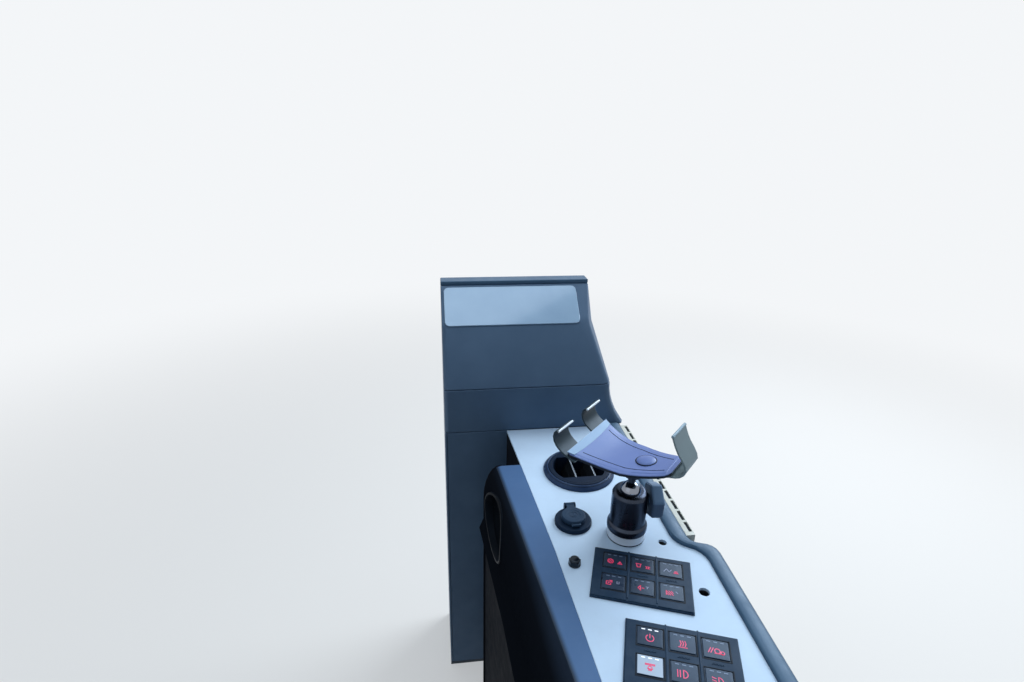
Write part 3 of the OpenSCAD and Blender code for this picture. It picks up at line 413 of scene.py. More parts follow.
def makeFinish(name, d, c):
    mat = bpy.data.materials.new(name)
    mat.use_nodes = True
    tree = mat.node_tree
    shader = tree.nodes["Principled BSDF"].inputs
    colour = mixColour(tree, addGroup(tree, "mottle", **c["mottle"]), *d["tones"])
    if "dust" in d:
        colour = mixColour(tree, addGroup(tree, "dust", Amount=d["dust"]), colour, c["dustTone"])
    # painted shade: a darker tone on faces that don't look up
    if "sides" in d:
        tone, start, full = d["sides"]
        colour = mixColour(tree, addGroup(tree, "side", Start=start, Full=full), colour, tone)
    # painted shade: another tone fading in along a way over the surface
    if "fade" in d:
        way, start, full, tone = d["fade"]
        reach = addDot(tree, tree.nodes.new("ShaderNodeTexCoord").outputs["Object"], way)
        colour = mixColour(tree, addRange(tree, reach, start, full, curve="SMOOTHSTEP"), colour, tone)
    worn = addMath(tree, "MULTIPLY", addGroup(tree, "wear", Width=c["wornWidth"]), d["wear"])
    colour = mixColour(tree, worn, colour, d["worn"])
    bump = tree.nodes.new("ShaderNodeBump")
    bump.inputs["Distance"].default_value = d["depth"]
    feed(tree, bump.inputs["Height"], addGroup(tree, "grain", Size=d["grain"]))
    smear = addGroup(tree, "mottle", **c["smear"])
    feed(tree, shader["Base Color"], colour)
    feed(tree, shader["Roughness"], addRange(tree, smear, 0.0, 1.0, *d["rough"]))
    feed(tree, shader["Normal"], bump.outputs["Normal"])
    feed(tree, shader["Metallic"], d.get("metal", 0.0))
    feed(tree, shader["Coat Weight"], d.get("coat", 0.0))
    feed(tree, shader["Coat Roughness"], c["coatRough"])
    feed(tree, shader["Specular IOR Level"], d.get("shine", c["shine"]))
    feed(tree, shader["Specular Tint"], (*d.get("tint", c["tint"]), 1))
    if "glow" in d:
        feed(tree, shader["Emission Color"], colour)
        feed(tree, shader["Emission Strength"], d["glow"])
    return mat


finish = {name: makeFinish(name, d, common) for name, d in finishes.items()}
print("finishes made,", len(finish))

# how pieces are shaded and how edges are found, in degrees, and how near two points are one, in metres
edgeRules = {"smoothTo": 35.0, "flatTo": 0.5, "cornerFrom": 38.0, "merge": 2e-6}


def addPiece(name, bm, material, body, instead=()):
    mesh = bpy.data.meshes.new(name)
    bm.to_mesh(mesh)
    bm.free()
    mesh.shade_smooth()
    mesh.set_sharp_from_angle(angle=math.radians(edgeRules["smoothTo"]))
    piece = bpy.data.objects.new(name, mesh)
    bpy.context.scene.collection.objects.link(piece)
    mesh.materials.append(finish[material])
    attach(piece, body)
    if instead:
        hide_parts(*instead)
    return piece


def addDressing(name, bm, material, body):
    # a piece that the CAD part doesn't have, with its faces turned outwards
    bmesh.ops.recalc_face_normals(bm, faces=bm.faces)
    addPiece(name, bm, material, body)


# CAD pieces whose edges are rounded as the moulds leave them: bevel width and segments
softEdges = {
    "tower_lower_cover": (0.0016, 3), "tower_upper_cover": (0.0016, 3), "tower_top_panel": (0.0007, 2),
    "tower_lip": (0.0014, 3), "back_panel": (0.0008, 2), "column_front_panel": (0.0008, 2),
    "column_end_panel": (0.0008, 2), "edge_rim": (0.0005, 2), "inner_side_panel": (0.0006, 2),
    "lower_inner_panel": (0.0008, 2), "outer_panel": (0.0008, 2), "near_end_panel": (0.001, 2),
    "deck_plate": (0.0004, 2), "base_flange": (0.0005, 2), "defroster_grille": (0.0004, 2),
    "keypad_1_frame": (0.0004, 2), "keypad_2_frame": (0.0004, 2), "keypad_1_keys": (0.0004, 2),
    "keypad_2_keys": (0.0004, 2), "vent_bezel": (0.0004, 2), "vent_barrel": (0.0006, 2),
    "vent_vane_left": (0.0002, 1), "vent_vane_right": (0.0002, 1), "socket_body": (0.0004, 2),
    "socket_cap": (0.0005, 2), "push_knob": (0.0003, 2), "holder_foot": (0.0003, 2),
    "holder_body": (0.0005, 2), "cradle_stem": (0.0003, 2), "cradle_plate": (0.0003, 2),
    "fixed_claws": (0.0005, 2), "sliding_claw": (0.0005, 2), "cradle_screw": (0.0003, 2),
    "clamp_knob": (0.0006, 2), "speaker_bezel": (0.0004, 2), "speaker_mesh": (0.0004, 2),
    "holder_ball": (0.0002, 1), "accessory_nuts": (0.0004, 2), "holder_label": (0.0001, 1),
    "step_panel": (0.0008, 2), "notch_panel": (0.0008, 2),
}
# pieces that look darker than the others of their material; on the fixed claws the darker finish is a painted
# shade
otherFinish = {"fixed_claws": "claw_dark", "speaker_bezel": "speaker_black", "vent_barrel": "barrel_black"}
# pieces with a crease: a point on it, the way across it, the finish of the sides and of all beyond it, darker
# as a painted shade, and how far up a face has to look to be none of the sides
creases = {
    "inner_side_panel": {
        "spot": (-0.0894, -0.0351, 0.45),
        "across": creaseWay,
        "beyond": "side_black",
        "topFrom": 0.5,
    },
}


def shadeSidesAndCrease(bm, d):
    # painted shade: faces beyond the crease or not looking up take the darker finish
    spot, across = Vector(d["spot"]), Vector(d["across"])
    whole = bm.verts[:] + bm.edges[:] + bm.faces[:]
    bmesh.ops.bisect_plane(bm, geom=whole, dist=1e-6, plane_co=spot, plane_no=across)
    for f in bm.faces:
        beyond = (f.calc_center_median() - spot).dot(across) > 0
        f.material_index = int(beyond or f.normal.z < d["topFrom"])


def roundNode(name, width, segments, d):
    bm = bmesh.new()
    bm.from_mesh(nodes[name].data)
    bmesh.ops.remove_doubles(bm, verts=bm.verts, dist=d["merge"])
    bmesh.ops.dissolve_limit(bm, angle_limit=math.radians(d["flatTo"]), verts=bm.verts, edges=bm.edges)
    least = math.radians(d["cornerFrom"])
    corners = [e for e in bm.edges if e.is_manifold and e.is_convex and e.calc_face_angle() > least]
    if corners:
        bmesh.ops.bevel(bm, geom=corners, offset=width, offset_type="OFFSET", segments=segments, profile=0.5,
                        affect="EDGES", clamp_overlap=True, material=-1)
    for f in bm.faces:
        f.material_index = 0
    crease = creases.get(name)
    if crease:
        shadeSidesAndCrease(bm, crease)
    material = otherFinish.get(name, slots[name])
    piece = addPiece(name.replace("_", "") + "Skin", bm, material, bodyOf[name], (name,))
    if crease:
        piece.data.materials.append(finish[crease["beyond"]])
    flat = piece.modifiers.new("flat", "WEIGHTED_NORMAL")  # keeps large faces evenly shaded beside a bevel
    flat.keep_sharp = True


for nodeName, (width, segments) in softEdges.items():
    roundNode(nodeName, width, segments, edgeRules)
print("edges rounded,", len(softEdges), "pieces")


# shapes that the dressing is made of

def addBox(bm, size, place):
    bmesh.ops.create_cube(bm, size=1.0, matrix=place @ Matrix.Diagonal((*size, 1.0)))


def addLine(bm, x0, y0, x1, y1, width, height, place):
    run = Vector((x1 - x0, y1 - y0, 0))
    middle = Matrix.Translation(((x0 + x1) / 2, (y0 + y1) / 2, 0))
    turn = Matrix.Rotation(math.atan2(run.y, run.x), 4, "Z")
    addBox(bm, (run.length + width, width, height), place @ middle @ turn)


def joinInto(bm, part):
    mesh = bpy.data.meshes.new("part")
    part.to_mesh(mesh)
    part.free()
    bm.from_mesh(mesh)
    bpy.data.meshes.remove(mesh)


def addArc(bm, x, y, radius, start, end, width, height, place, steps=24):
    # a flat bar bent round (x, y), from one angle to another in degrees
    full = abs(end - start) >= 360
    arc = bmesh.new()
    first = Matrix.Rotation(math.radians(start), 4, "Z") @ Matrix.Translation((radius, 0, 0))
    section = Matrix.Rotation(math.radians(90), 4, "X") @ Matrix.Diagonal((width, height, 1, 1))
    bmesh.ops.create_grid(arc, x_segments=1, y_segments=1, size=0.5, matrix=first @ section)
    bmesh.ops.delete(arc, geom=arc.faces[:], context="FACES_ONLY")
    bmesh.ops.spin(arc, geom=arc.edges[:], cent=(0, 0, 0), axis=(0, 0, 1), angle=math.radians(end - start),
                   steps=steps, use_merge=full)
    if not full:
        bmesh.ops.holes_fill(arc, edges=[e for e in arc.edges if e.is_boundary], sides=4)
    bmesh.ops.transform(arc, matrix=place @ Matrix.Translation((x, y, 0)), verts=arc.verts)
    joinInto(bm, arc)


def addRing(bm, place, radius, tube, steps=64, sides=6):
    ring = bmesh.new()
    first = Matrix.Translation((radius, 0, 0)) @ Matrix.Rotation(math.radians(90), 4, "X")
    bmesh.ops.create_circle(ring, segments=sides, radius=tube, matrix=first)
    bmesh.ops.spin(ring, geom=ring.edges[:], cent=(0, 0, 0), axis=(0, 0, 1), angle=math.radians(360),
                   steps=steps, use_merge=True)
    bmesh.ops.transform(ring, matrix=place, verts=ring.verts)
    joinInto(bm, ring)


def addSweep(bm, sides, radius, places):
    # a section of so many sides set down at each place, each joined to the next, with the ends closed
    loops = []
    for place in places:
        loop = set(bmesh.ops.create_circle(bm, segments=sides, radius=radius, matrix=place)["verts"])
        loops.append([e for e in bm.edges if e.verts[0] in loop])
    for a, b in zip(loops, loops[1:]):
        bmesh.ops.bridge_loops(bm, edges=a + b)
    bmesh.ops.holes_fill(bm, edges=loops[0] + loops[-1], sides=sides)


def middleOf(nodeName):
    low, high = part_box(nodeName)
    return (low[0] + high[0]) / 2, (low[1] + high[1]) / 2


# keypads: the dark gap round each key, widened at the front and right by a painted shadow of the raised key,
# lamps and signs on it, and grip marks on the pad between the rows
keypads = {
    "turn": -20.0,
    "columns": 3,
    "rows": 2,
    "pitch": (0.0271, 0.0286),
    "first": (-0.02655, 0.0162),
    "keyTop": 0.0036,
    "padTop": 0.003,
    "key": (0.0225, 0.0198),
    "gap": (0.0006, 0.0011),  # at the back and left a gap, at the front and right a gap widened by a painted shadow
    "gapTall": 0.0003,
    "litFace": (0.0202, 0.0175, 0.0001),
    "line": (0.00075, 0.00024),
    "lamp": (0.0032, 0.0009, 0.00024),
    "lampX": (-0.0056, 0.0, 0.0056),
    "lampY": 0.0068,
    "grips": 4,
    "gripPitch": 0.0024,
    "gripLean": 35.0,
    "gripBars": (((0, 0), (0.0021, 0.0006, 0.0009)), ((0.0009, 0.0004), (0.0006, 0.0018, 0.0009))),
}
# generic signs in millimetres round a key's middle: pink and grey lines (x0, y0, x1, y1), pink arcs
# (x, y, radius, from, to), whether the lamps are lit and whether the key itself is
keySigns = {
    "keypad_1_frame": [
        {
            "lines": [
                (-6.5, 0.5, -2, -4), (-6.8, -1.5, -4.2, -4.2), (-4.4, 0.8, -1.6, -2), (3, -4.2, 7, -4.2),
                (3, -4.2, 5, -1), (7, -4.2, 5, -1), (5, -3.6, 5, -2.4),
            ],
            "arcs": [(-4.2, -1.7, 2.8, 0, 360)],
        },
        {
            "lines": [
                (-5.8, 0.6, -5.2, -3.6), (-1.8, 0.6, -2.4, -3.6), (-5.2, -3.6, -2.4, -3.6),
                (-6.4, 0.8, -1.2, 0.8), (3, -1.6, 7, -1.6), (3.4, -4, 6.6, -4), (4, -1.6, 4, -4),
                (6, -1.6, 6, -4),
            ],
        },
        {
            "lines": [(3, -4, 7, -4), (4, -1.6, 6, -1.6), (5, -1.6, 5, -4), (3.4, -3, 6.6, -3)],
            "grey": [(-6.5, -3.4, -4, 0.4), (-4, 0.4, -1.4, -3.4), (-1.4, -3.4, 0.5, -0.4)],
        },
        {
            "lines": [
                (-6.6, -4.4, -6.6, -0.4), (-6.6, -4.4, -2.4, -4.4), (-2.4, -4.4, -2.4, -2.4),
                (-6.6, -0.4, -4.6, -0.4), (-4.8, -2.6, -1.4, 0.8), (-1.4, 0.8, -3.6, 0.8),
                (-1.4, 0.8, -1.4, -1.4),
            ],
            "grey": [(3.4, 0.4, 3.4, -2), (3.4, -2, 5.4, -2), (5.4, -2, 5.4, 0.4)],
        },
        {
            "lines": [
                (-4, -1.8, -1.6, 1), (-4, -1.8, -1.6, -4.6), (-1.6, 1, -1.6, -4.6),
                (-0.2, -1.8, 1.4, -1.8),
            ],
            "grey": [(3.6, 0.6, 5.6, 0.6), (4.6, 0.6, 4.6, -1.6)],
        },
        {
            "lines": [
                (-5, 0.6, -1.2, -4.2), (-2.6, 0.6, 1.2, -4.2), (-5, -2, -3.2, -4.2),
                (-0.4, 0.6, 1.2, -1.6), (-5, 0.6, -5, -4.2),
            ],
            "grey": [(4, 0.8, 5.4, -0.8)],
        },
    ],
    "keypad_2_frame": [
        {
            "lines": [(0, 2.2, 0, -1.4)],
            "arcs": [(0, -1.8, 3.3, 120, 420)],
            "lit": True,
        },
        {
            "lines": [
                (-2, 1.6, -1.2, -1), (-1.2, -1, -2, -3.4), (0, 1.6, 0.8, -1), (0.8, -1, 0, -3.4),
                (2, 1.6, 2.8, -1), (2.8, -1, 2, -3.4), (-3.4, -4.8, 3.4, -4.8),
            ],
        },
        {
            "lines": [(-6.4, -4, -4.2, 0.6), (-4.4, -4, -2.2, 0.6), (-1.2, -4.2, 5.8, -4.2)],
            "arcs": [(1, -1.8, 2.2, 0, 360), (5.2, -3, 1.5, 0, 360)],
        },
        {
            "lines": [
                (-3.8, 1.4, 3.8, 1.4), (-3.8, 0.4, 3.8, 0.4), (-2, -3, 2, -3), (-1.2, -4.4, 1.2, -4.4),
            ],
            "arcs": [(0, -2.2, 1.6, 0, 360)],
            "lit": True,
            "backlit": True,
        },
        {
            "lines": [(-5.4, 1.4, -5.4, -4.6), (-3.4, 1.4, -3.4, -4.6), (-0.8, 1.8, -0.8, -5)],
            "arcs": [(-0.8, -1.6, 3.4, -90, 90)],
        },
        {
            "lines": [
                (-5.6, 1.2, -3, 0.4), (-5.6, -1.2, -3, -2), (-5.6, -3.6, -3, -4.4), (-0.8, 1.8, -0.8, -5),
            ],
            "arcs": [(-0.8, -1.6, 3.4, -90, 90)],
        },
    ],
}


# a dark gap round the key, wider at the front and right as a painted shadow of the raised key
def addKeyGapAndShadow(bm, place, d):
    keyX, keyY = d["key"]
    thin, wide = d["gap"]
    sides = [
        (-keyX / 2 - thin / 2, 0, thin, keyY),
        (keyX / 2 + wide / 2, 0, wide, keyY + thin + wide),
        (0, keyY / 2 + thin / 2, keyX + 2 * thin, thin),
        (0, -keyY / 2 - wide / 2, keyX + 2 * thin, wide),
    ]
    for x, y, sizeX, sizeY in sides:
        spot = Matrix.Translation((x, y, d["padTop"] - d["keyTop"]))
        addBox(bm, (sizeX, sizeY, d["gapTall"]), place @ spot)


def drawKey(drawn, place, sign, d):
    if sign.get("backlit"):
        tall = d["litFace"][2]
        addBox(drawn["key_lit"], d["litFace"], place @ Matrix.Translation((0, 0, tall / 2)))
        place = place @ Matrix.Translation((0, 0, tall))
    for kind, material in (("lines", "sign_pink"), ("grey", "sign_grey")):
        for line in sign.get(kind, ()):
            addLine(drawn[material], *(c * mm for c in line), *d["line"], place)
    for x, y, radius, start, end in sign.get("arcs", ()):
        addArc(drawn["sign_pink"], x * mm, y * mm, radius * mm, start, end, *d["line"], place)
    lamps = drawn["lamp_white" if sign.get("lit") else "lamp_dim"]
    for x in d["lampX"]:
        addBox(lamps, d["lamp"], place @ Matrix.Translation((x, d["lampY"], 0)))


def addGripMarks(bm, pad, d):
    lean = Matrix.Rotation(math.radians(d["gripLean"]), 4, "Z")
    y = d["first"][1] - d["pitch"][1] / 2
    for i in range(d["columns"]):
        for k in range(d["grips"]):
            x = d["first"][0] + i * d["pitch"][0] + (k - (d["grips"] - 1) / 2) * d["gripPitch"]
            for (dx, dy), size in d["gripBars"]:
                addBox(bm, size, pad @ Matrix.Translation((x + dx, y + dy, d["padTop"])) @ lean)


def dressKeypad(padNode, label, d):
    pad = Matrix.Translation((*middleOf(padNode), deckTop)) @ Matrix.Rotation(math.radians(d["turn"]), 4, "Z")
    drawn = {material: bmesh.new() for material in
             ("sign_pink", "sign_grey", "lamp_white", "lamp_dim", "key_lit", "keypad_slate", "rubber_edge")}
    spots = [(i, j) for j in range(d["rows"]) for i in range(d["columns"])]
    for (i, j), sign in zip(spots, keySigns[padNode]):
        x, y = d["first"][0] + i * d["pitch"][0], d["first"][1] - j * d["pitch"][1]
        place = pad @ Matrix.Translation((x, y, d["keyTop"]))
        addKeyGapAndShadow(drawn["rubber_edge"], place, d)
        drawKey(drawn, place, sign, d)
    addGripMarks(drawn["keypad_slate"], pad, d)
    for material, bm in drawn.items():
        if bm.verts:
            name = label + "".join(w.capitalize() for w in material.split("_"))
            addDressing(name, bm, material, "console")
        else:
            bm.free()


dressKeypad("keypad_1_frame", "farPad", keypads)
dressKeypad("keypad_2_frame", "nearPad", keypads)
print("keypads dressed")

# cradle: two engraved lines, a bare metal end and a dark ring round the screw as a painted shade under its
# dome, on the plate's curved surface
cradle = {
    "turn": -44.0,
    "height": 0.0948,
    "lean": 4.5,
    "sag": 0.010,
    "sagAt": 0.05,
    "armLeft": 0.055,
    "armRight": 0.044,
    "halfLeft": 0.043,
    "halfMid": 0.031,
    "halfRight": 0.020,
    "insert": 0.0006,
    "lineFrom": -0.0438,
    "lineTo": 0.036,
    "lineIn": 0.0105,
    "lineRadius": 0.0004,
    "lineSteps": 24,
    "lineSides": 6,
    "baseFrom": -0.0546,
    "baseTo": -0.0456,
    "baseBow": -0.002,
    "baseIn": 0.0012,
    "baseTop": 0.0002,
    "baseThick": 0.0006,
    "baseGrid": (4, 16),
    "screw": (0.012, 0.0015),
    "screwTop": 0.0005,
    "screwShadeRing": (0.0103, 0.0006, 48),
}


def cradleSurface(d, s):
    return d["sag"] * (s / d["sagAt"]) ** 2 + s * math.tan(math.radians(d["lean"]))


def cradleHalf(d, s):
    # half the plate's width: waisted, wide at the left end and narrow at the right one
    if s < 0:
        return d["halfMid"] + (d["halfLeft"] - d["halfMid"]) * (s / d["armLeft"]) ** 2
    return d["halfMid"] + (d["halfRight"] - d["halfMid"]) * s / d["armRight"]


def cradlePlace(d):
    foot = Matrix.Translation((*middleOf("holder_foot"), deckTop + d["height"]))
    return foot @ Matrix.Rotation(math.radians(d["turn"]), 4, "Z")


def makeCradleLines(d):
    bm = bmesh.new()
    turn = Matrix.Rotation(math.radians(90), 4, "Y")
    for side in (-1, 1):
        places = []
        for k in range(d["lineSteps"] + 1):
            s = d["lineFrom"] + (d["lineTo"] - d["lineFrom"]) * k / d["lineSteps"]
            spot = (s, side * (cradleHalf(d, s) - d["lineIn"]), cradleSurface(d, s) + d["insert"])
            places.append(cradlePlace(d) @ Matrix.Translation(spot) @ turn)
        addSweep(bm, d["lineSides"], d["lineRadius"], places)
    addDressing("cradleLines", bm, "rubber_edge", "cradle")


def makeCradleBase(d):
    # the bare metal end of the plate between the two fixed claws
    bm = bmesh.new()
    bmesh.ops.create_grid(bm, x_segments=d["baseGrid"][0], y_segments=d["baseGrid"][1], size=1.0)
    for v in bm.verts:
        along, share = (v.co.x + 1) / 2, v.co.y
        s = d["baseFrom"] + (d["baseTo"] + d["baseBow"] * share ** 2 - d["baseFrom"]) * along
        v.co = (s, share * (cradleHalf(d, s) - d["baseIn"]), cradleSurface(d, s) + d["insert"] + d["baseTop"])
    bmesh.ops.transform(bm, matrix=cradlePlace(d), verts=bm.verts)
    below = bmesh.ops.extrude_face_region(bm, geom=bm.faces[:])["geom"]
    bmesh.ops.translate(bm, verts=[g for g in below if isinstance(g, bmesh.types.BMVert)],
                        vec=(0, 0, -d["baseThick"]))
    addDressing("cradleBase", bm, "cradle_base", "cradle")


# a dark ring at the foot of the screw's dome: painted shade
def makeScrewShadeRing(d):
    bm = bmesh.new()
    s, p = d["screw"]
    slope = math.atan(2 * d["sag"] * s / d["sagAt"] ** 2) + math.radians(d["lean"])
    spot = Matrix.Translation((s, p, cradleSurface(d, s) + d["insert"] + d["screwTop"]))
    addRing(bm, cradlePlace(d) @ spot @ Matrix.Rotation(-slope, 4, "Y"), *d["screwShadeRing"])
    addDressing("screwShadeRing", bm, "rubber_edge", "cradle")


# claws: a rolled lip along each tip, and a pad inside the sliding claw
claws = {
    "fixedTip": (-0.0104, 0.02),  # from the plate's end, along it and up
    "fixedAt": 0.02875,  # either way from the plate's middle
    "fixedWidth": 0.0275,
    "fixedLip": 0.0012,
    "slidingTip": (-0.0036, 0.0374),
    "slidingWidth": 0.031,
    "slidingLip": 0.0015,
    "lipSides": 20,
    "padWidth": 0.0265,
    "padOff": (0.0009, 0.0013),  # how far its two faces lie off the claw's middle line
    "padLine": [(12.4, 7.2), (11.2, 11.2), (7.9, 16.4), (3.6, 22), (0.4, 27.6), (-1.6, 32.4)],  # millimetres
}


def makeClawLips(d, c, kind, end, sides):
    bm = bmesh.new()
    (out, up), radius = d[kind + "Tip"], d[kind + "Lip"]
    along = Matrix.Rotation(math.radians(90), 4, "X")
    for side in sides:
        spot = Matrix.Translation((end + out, side, cradleSurface(c, end) + up))
        bmesh.ops.create_cone(bm, cap_ends=True, segments=d["lipSides"], radius1=radius, radius2=radius,
                              depth=d[kind + "Width"], matrix=cradlePlace(c) @ spot @ along)
    return bm


def makeClawPad(d, c):
    start = cradlePlace(c) @ Matrix.Translation((c["armRight"], 0, cradleSurface(c, c["armRight"])))
    near, far = d["padOff"]
    off = Matrix.Translation(((near + far) / 2, 0, 0))
    eighth = Matrix.Rotation(math.radians(45), 4, "Z")  # the sweep's circle of four sides lies square
    section = Matrix.Diagonal((far - near, d["padWidth"], 1, 1)) @ eighth
    line = [Vector((u * mm, 0, h * mm)) for u, h in d["padLine"]]
    places = []
    for k, spot in enumerate(line):
        run = line[min(k + 1, len(line) - 1)] - line[max(k - 1, 0)]
        turn = Matrix.Rotation(math.atan2(-run.x, -run.z), 4, "Y")
        places.append(start @ Matrix.Translation(spot) @ turn @ off @ section)
    bm = bmesh.new()
    addSweep(bm, 4, math.sqrt(0.5), places)
    addDressing("clawPad", bm, "claw_pad", "claw")


makeCradleLines(cradle)
makeCradleBase(cradle)
makeScrewShadeRing(cradle)
fixedLips = makeClawLips(claws, cradle, "fixed", -cradle["armLeft"], (-claws["fixedAt"], claws["fixedAt"]))
slidingLip = makeClawLips(claws, cradle, "sliding", cradle["armRight"], (0,))
addDressing("cradleLips", fixedLips, "claw_bright", "cradle")
addDressing("clawLips", slidingLip, "claw_pad", "claw")
makeClawPad(claws, cradle)
print("cradle dressed")

# vent: thin grooves round the ring and the barrel (radius, height, thickness) and a pale strip on each vane's
# top edge, a painted highlight
vent = {
    "groove": (0.0412, 0.0051, 0.0003),
    "step": (0.0348, 0.0065, 0.0002),
    "pitch": 0.024,
    "pinZ": -0.006,
    "lean": 25.0,
    "tall": 0.022,
    # the painted highlight on each vane's top edge: its size, and how far into the vane it sits
    "edge": (0.0022, 0.0424, 0.0003),
    "edgeIn": 0.0002,
}


def dressVent(d):
    place = Matrix.Translation((*middleOf("vent_bezel"), deckTop))
    for name, body, key in (("ventGroove", "console", "groove"), ("ventStep", "vent_turner", "step")):
        radius, z, tube = d[key]
        bm = bmesh.new()
        addRing(bm, place @ Matrix.Translation((0, 0, z)), radius, tube)
        addDressing(name, bm, "rubber_edge", body)
    for side, body in ((-1, "vane_left"), (1, "vane_right")):
        bm = bmesh.new()
        pin = Matrix.Translation((side * d["pitch"] / 2, 0, d["pinZ"]))
        lean = Matrix.Rotation(math.radians(d["lean"]), 4, "Y")
        addBox(bm, d["edge"], place @ pin @ lean @ Matrix.Translation((0, 0, d["tall"] / 2 - d["edgeIn"])))
        addDressing(body.replace("_", "") + "Edge", bm, "vane_edge", body)


# socket: a generic sign on the cap, a ring (radius, thickness, steps) and bars in millimetres
socket = {
    "at": (-0.0336, 0.019),
    "signZ": 0.0106,
    "ring": (0.0042, 0.00022, 32),
    "bars": [(0, 0.6, 0, 3.0), (-1.4, -2.4, 1.4, -2.4)],
    "bar": (0.0007, 0.0003),
}


def dressSocket(d):
    bm = bmesh.new()
    place = Matrix.Translation((*d["at"], deckTop + d["signZ"]))
    addRing(bm, place, *d["ring"])
    for bar in d["bars"]:
        addLine(bm, *(c * mm for c in bar), *d["bar"], place)
    addDressing("socketSign", bm, "socket_black", "socket_lid")


# push knob: upright ridges round it, a little thinner at the top
knob = {
    "at": (-0.0465, -0.0425),
    "ridges": 5,
    "radius": 0.0051,
    "ridge": 0.0014,
    "taper": 0.8,
    "sides": 16,
    "from": 0.0012,
    "tall": 0.0038,
}


def dressKnob(d):
    bm = bmesh.new()
    place = Matrix.Translation((*d["at"], deckTop + d["from"] + d["tall"] / 2))
    for k in range(d["ridges"]):
        turn = Matrix.Rotation(math.radians(360 * k / d["ridges"]), 4, "Z")
        spot = place @ turn @ Matrix.Translation((d["radius"], 0, 0))
        bmesh.ops.create_cone(bm, cap_ends=True, segments=d["sides"], depth=d["tall"], matrix=spot,
                              radius1=d["ridge"], radius2=d["ridge"] * d["taper"])
    addDressing("knobRidges", bm, "knob_gloss", "console")


# defroster strip: a dark box deep in each slot, a painted shade in the openings, and a dark line between the
# strip and the rim
grille = {
    "slot": (0.0036, 0.0155),
    "edge": 0.0012,
    "first": 0.006,
    "pitch": 0.019,
    "deep": (-0.0068, -0.0026),
    "into": 0.0002,
    "line": (0.0007, 0.0024),
}


def dressGrille(d):
    low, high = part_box("defroster_grille")
    bm = bmesh.new()
    x = high[0] - d["edge"] - d["slot"][0] / 2
    y = low[1] + d["first"] + d["slot"][1] / 2
    z = deckTop + sum(d["deep"]) / 2
    slotShade = (d["slot"][0] + d["into"], d["slot"][1] + d["into"], d["deep"][1] - d["deep"][0])
    # painted shade inside each slot
    while y + d["slot"][1] / 2 < high[1]:
        addBox(bm, slotShade, Matrix.Translation((x, y, z)))
        y += d["pitch"]
    thick, tall = d["line"]
    middle = (low[0] - thick / 4, (low[1] + high[1]) / 2, high[2] - tall / 2)
    addBox(bm, (thick, high[1] - low[1], tall), Matrix.Translation(middle))
    addDressing("grilleShadeAndSeam", bm, "rubber_edge", "console")


dressVent(vent)
dressSocket(socket)
dressKnob(knob)
dressGrille(grille)
print("round parts and grille dressed")

# studio: a matt floor and backdrop that pass into white away from the object, three lamps and a dim sky
studio = {
    "floor": (0.75, 0.73, 0.7),
    "rough": 0.85,
    "white": (0.9, 0.92, 0.94),
    "near": 0.5,
    "far": 2.6,
    "least": 0.4,
    "size": 9.0,
    "wallY": 4.5,
    "aim": (0, 0, 0.45),
    "lamps": {
        "key": {"place": (1.25, 0.95, 1.55), "size": 1.2, "watts": 36.0},
        "top": {"place": (-0.2, 0.35, 2.2), "size": 1.5, "watts": 18.0},
        "fill": {"place": (-1.8, -1.2, 1.5), "size": 1.8, "watts": 3.0},
    },
    "tint": (0.84, 0.92, 1.0),
    "sky": (0.7, 0.85, 1.0),
    "skyStrength": 0.3,
}


def makeLamp(name, d, tint, aim):
    data = bpy.data.lights.new(name, "AREA")
    data.size = d["size"]
    data.energy = d["watts"]
    data.color = tint
    lamp = bpy.data.objects.new(name, data)
    lamp.location = d["place"]
    lamp.rotation_euler = (Vector(aim) - Vector(d["place"])).to_track_quat("-Z", "Y").to_euler()
    bpy.context.scene.collection.objects.link(lamp)


def raysSeen(tree):
    # 1 where a camera, glossy or transmission ray looks, so that the background shows white in surfaces too
    rays = tree.nodes.new("ShaderNodeLightPath").outputs
    seen = addMath(tree, "MAXIMUM", rays["Is Camera Ray"], rays["Is Glossy Ray"])
    return addMath(tree, "MAXIMUM", seen, rays["Is Transmission Ray"])


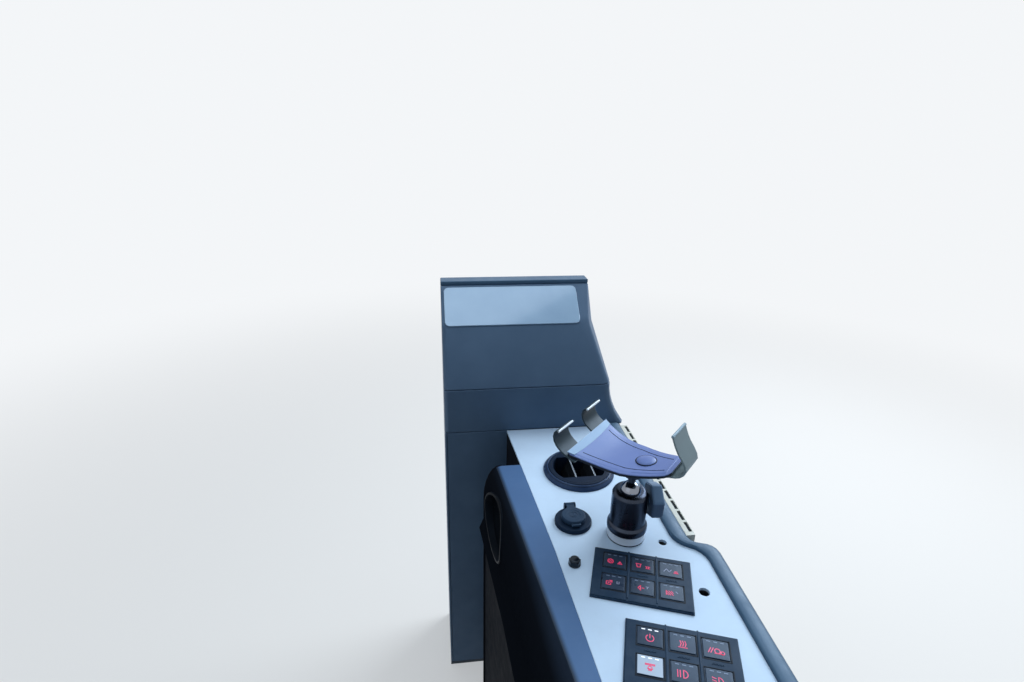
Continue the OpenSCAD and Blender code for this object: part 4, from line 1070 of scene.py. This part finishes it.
def mixShaders(tree, mask, a, b, out):
    mix = tree.nodes.new("ShaderNodeMixShader")
    for socket, value in zip(mix.inputs, (mask, a.outputs[0], b.outputs[0])):
        feed(tree, socket, value)
    feed(tree, tree.nodes[out].inputs["Surface"], mix.outputs[0])


def makeStageMaterial(d):
    mat = bpy.data.materials.new("stage")
    mat.use_nodes = True
    tree = mat.node_tree
    matt = tree.nodes["Principled BSDF"]
    matt.inputs["Base Color"].default_value = (*d["floor"], 1)
    matt.inputs["Roughness"].default_value = d["rough"]
    white = tree.nodes.new("ShaderNodeEmission")
    white.inputs["Color"].default_value = (*d["white"], 1)
    reach = tree.nodes.new("ShaderNodeVectorMath")
    reach.operation = "LENGTH"
    feed(tree, reach.inputs[0], tree.nodes.new("ShaderNodeTexCoord").outputs["Object"])
    fade = addRange(tree, reach.outputs["Value"], d["near"], d["far"], low=d["least"], curve="SMOOTHSTEP")
    mixShaders(tree, addMath(tree, "MULTIPLY", fade, raysSeen(tree)), matt, white, "Material Output")
    return mat


def makeStagePiece(name, size, matrix, mat):
    bm = bmesh.new()
    bmesh.ops.create_grid(bm, x_segments=1, y_segments=1, size=size, matrix=matrix)
    mesh = bpy.data.meshes.new(name)
    bm.to_mesh(mesh)
    bm.free()
    piece = bpy.data.objects.new(name, mesh)
    bpy.context.scene.collection.objects.link(piece)
    mesh.materials.append(mat)


def makeStudio(d):
    mat = makeStageMaterial(d)
    upright = Matrix.Rotation(math.radians(90), 4, "X")
    makeStagePiece("floor", d["size"], Matrix.Identity(4), mat)
    makeStagePiece("backdrop", d["size"], Matrix.Translation((0, d["wallY"], 0)) @ upright, mat)
    for name, lamp in d["lamps"].items():
        makeLamp(name, lamp, d["tint"], d["aim"])
    world = bpy.data.worlds.new("world")
    bpy.context.scene.world = world
    world.use_nodes = True
    tree = world.node_tree
    sky = tree.nodes["Background"]
    sky.inputs["Color"].default_value = (*d["sky"], 1)
    sky.inputs["Strength"].default_value = d["skyStrength"]
    white = tree.nodes.new("ShaderNodeBackground")
    white.inputs["Color"].default_value = (*d["white"], 1)
    mixShaders(tree, raysSeen(tree), sky, white, "World Output")


makeCamera(camera)
makeStudio(studio)
bpy.context.scene.view_settings.view_transform = "Standard"
print("studio and camera set")
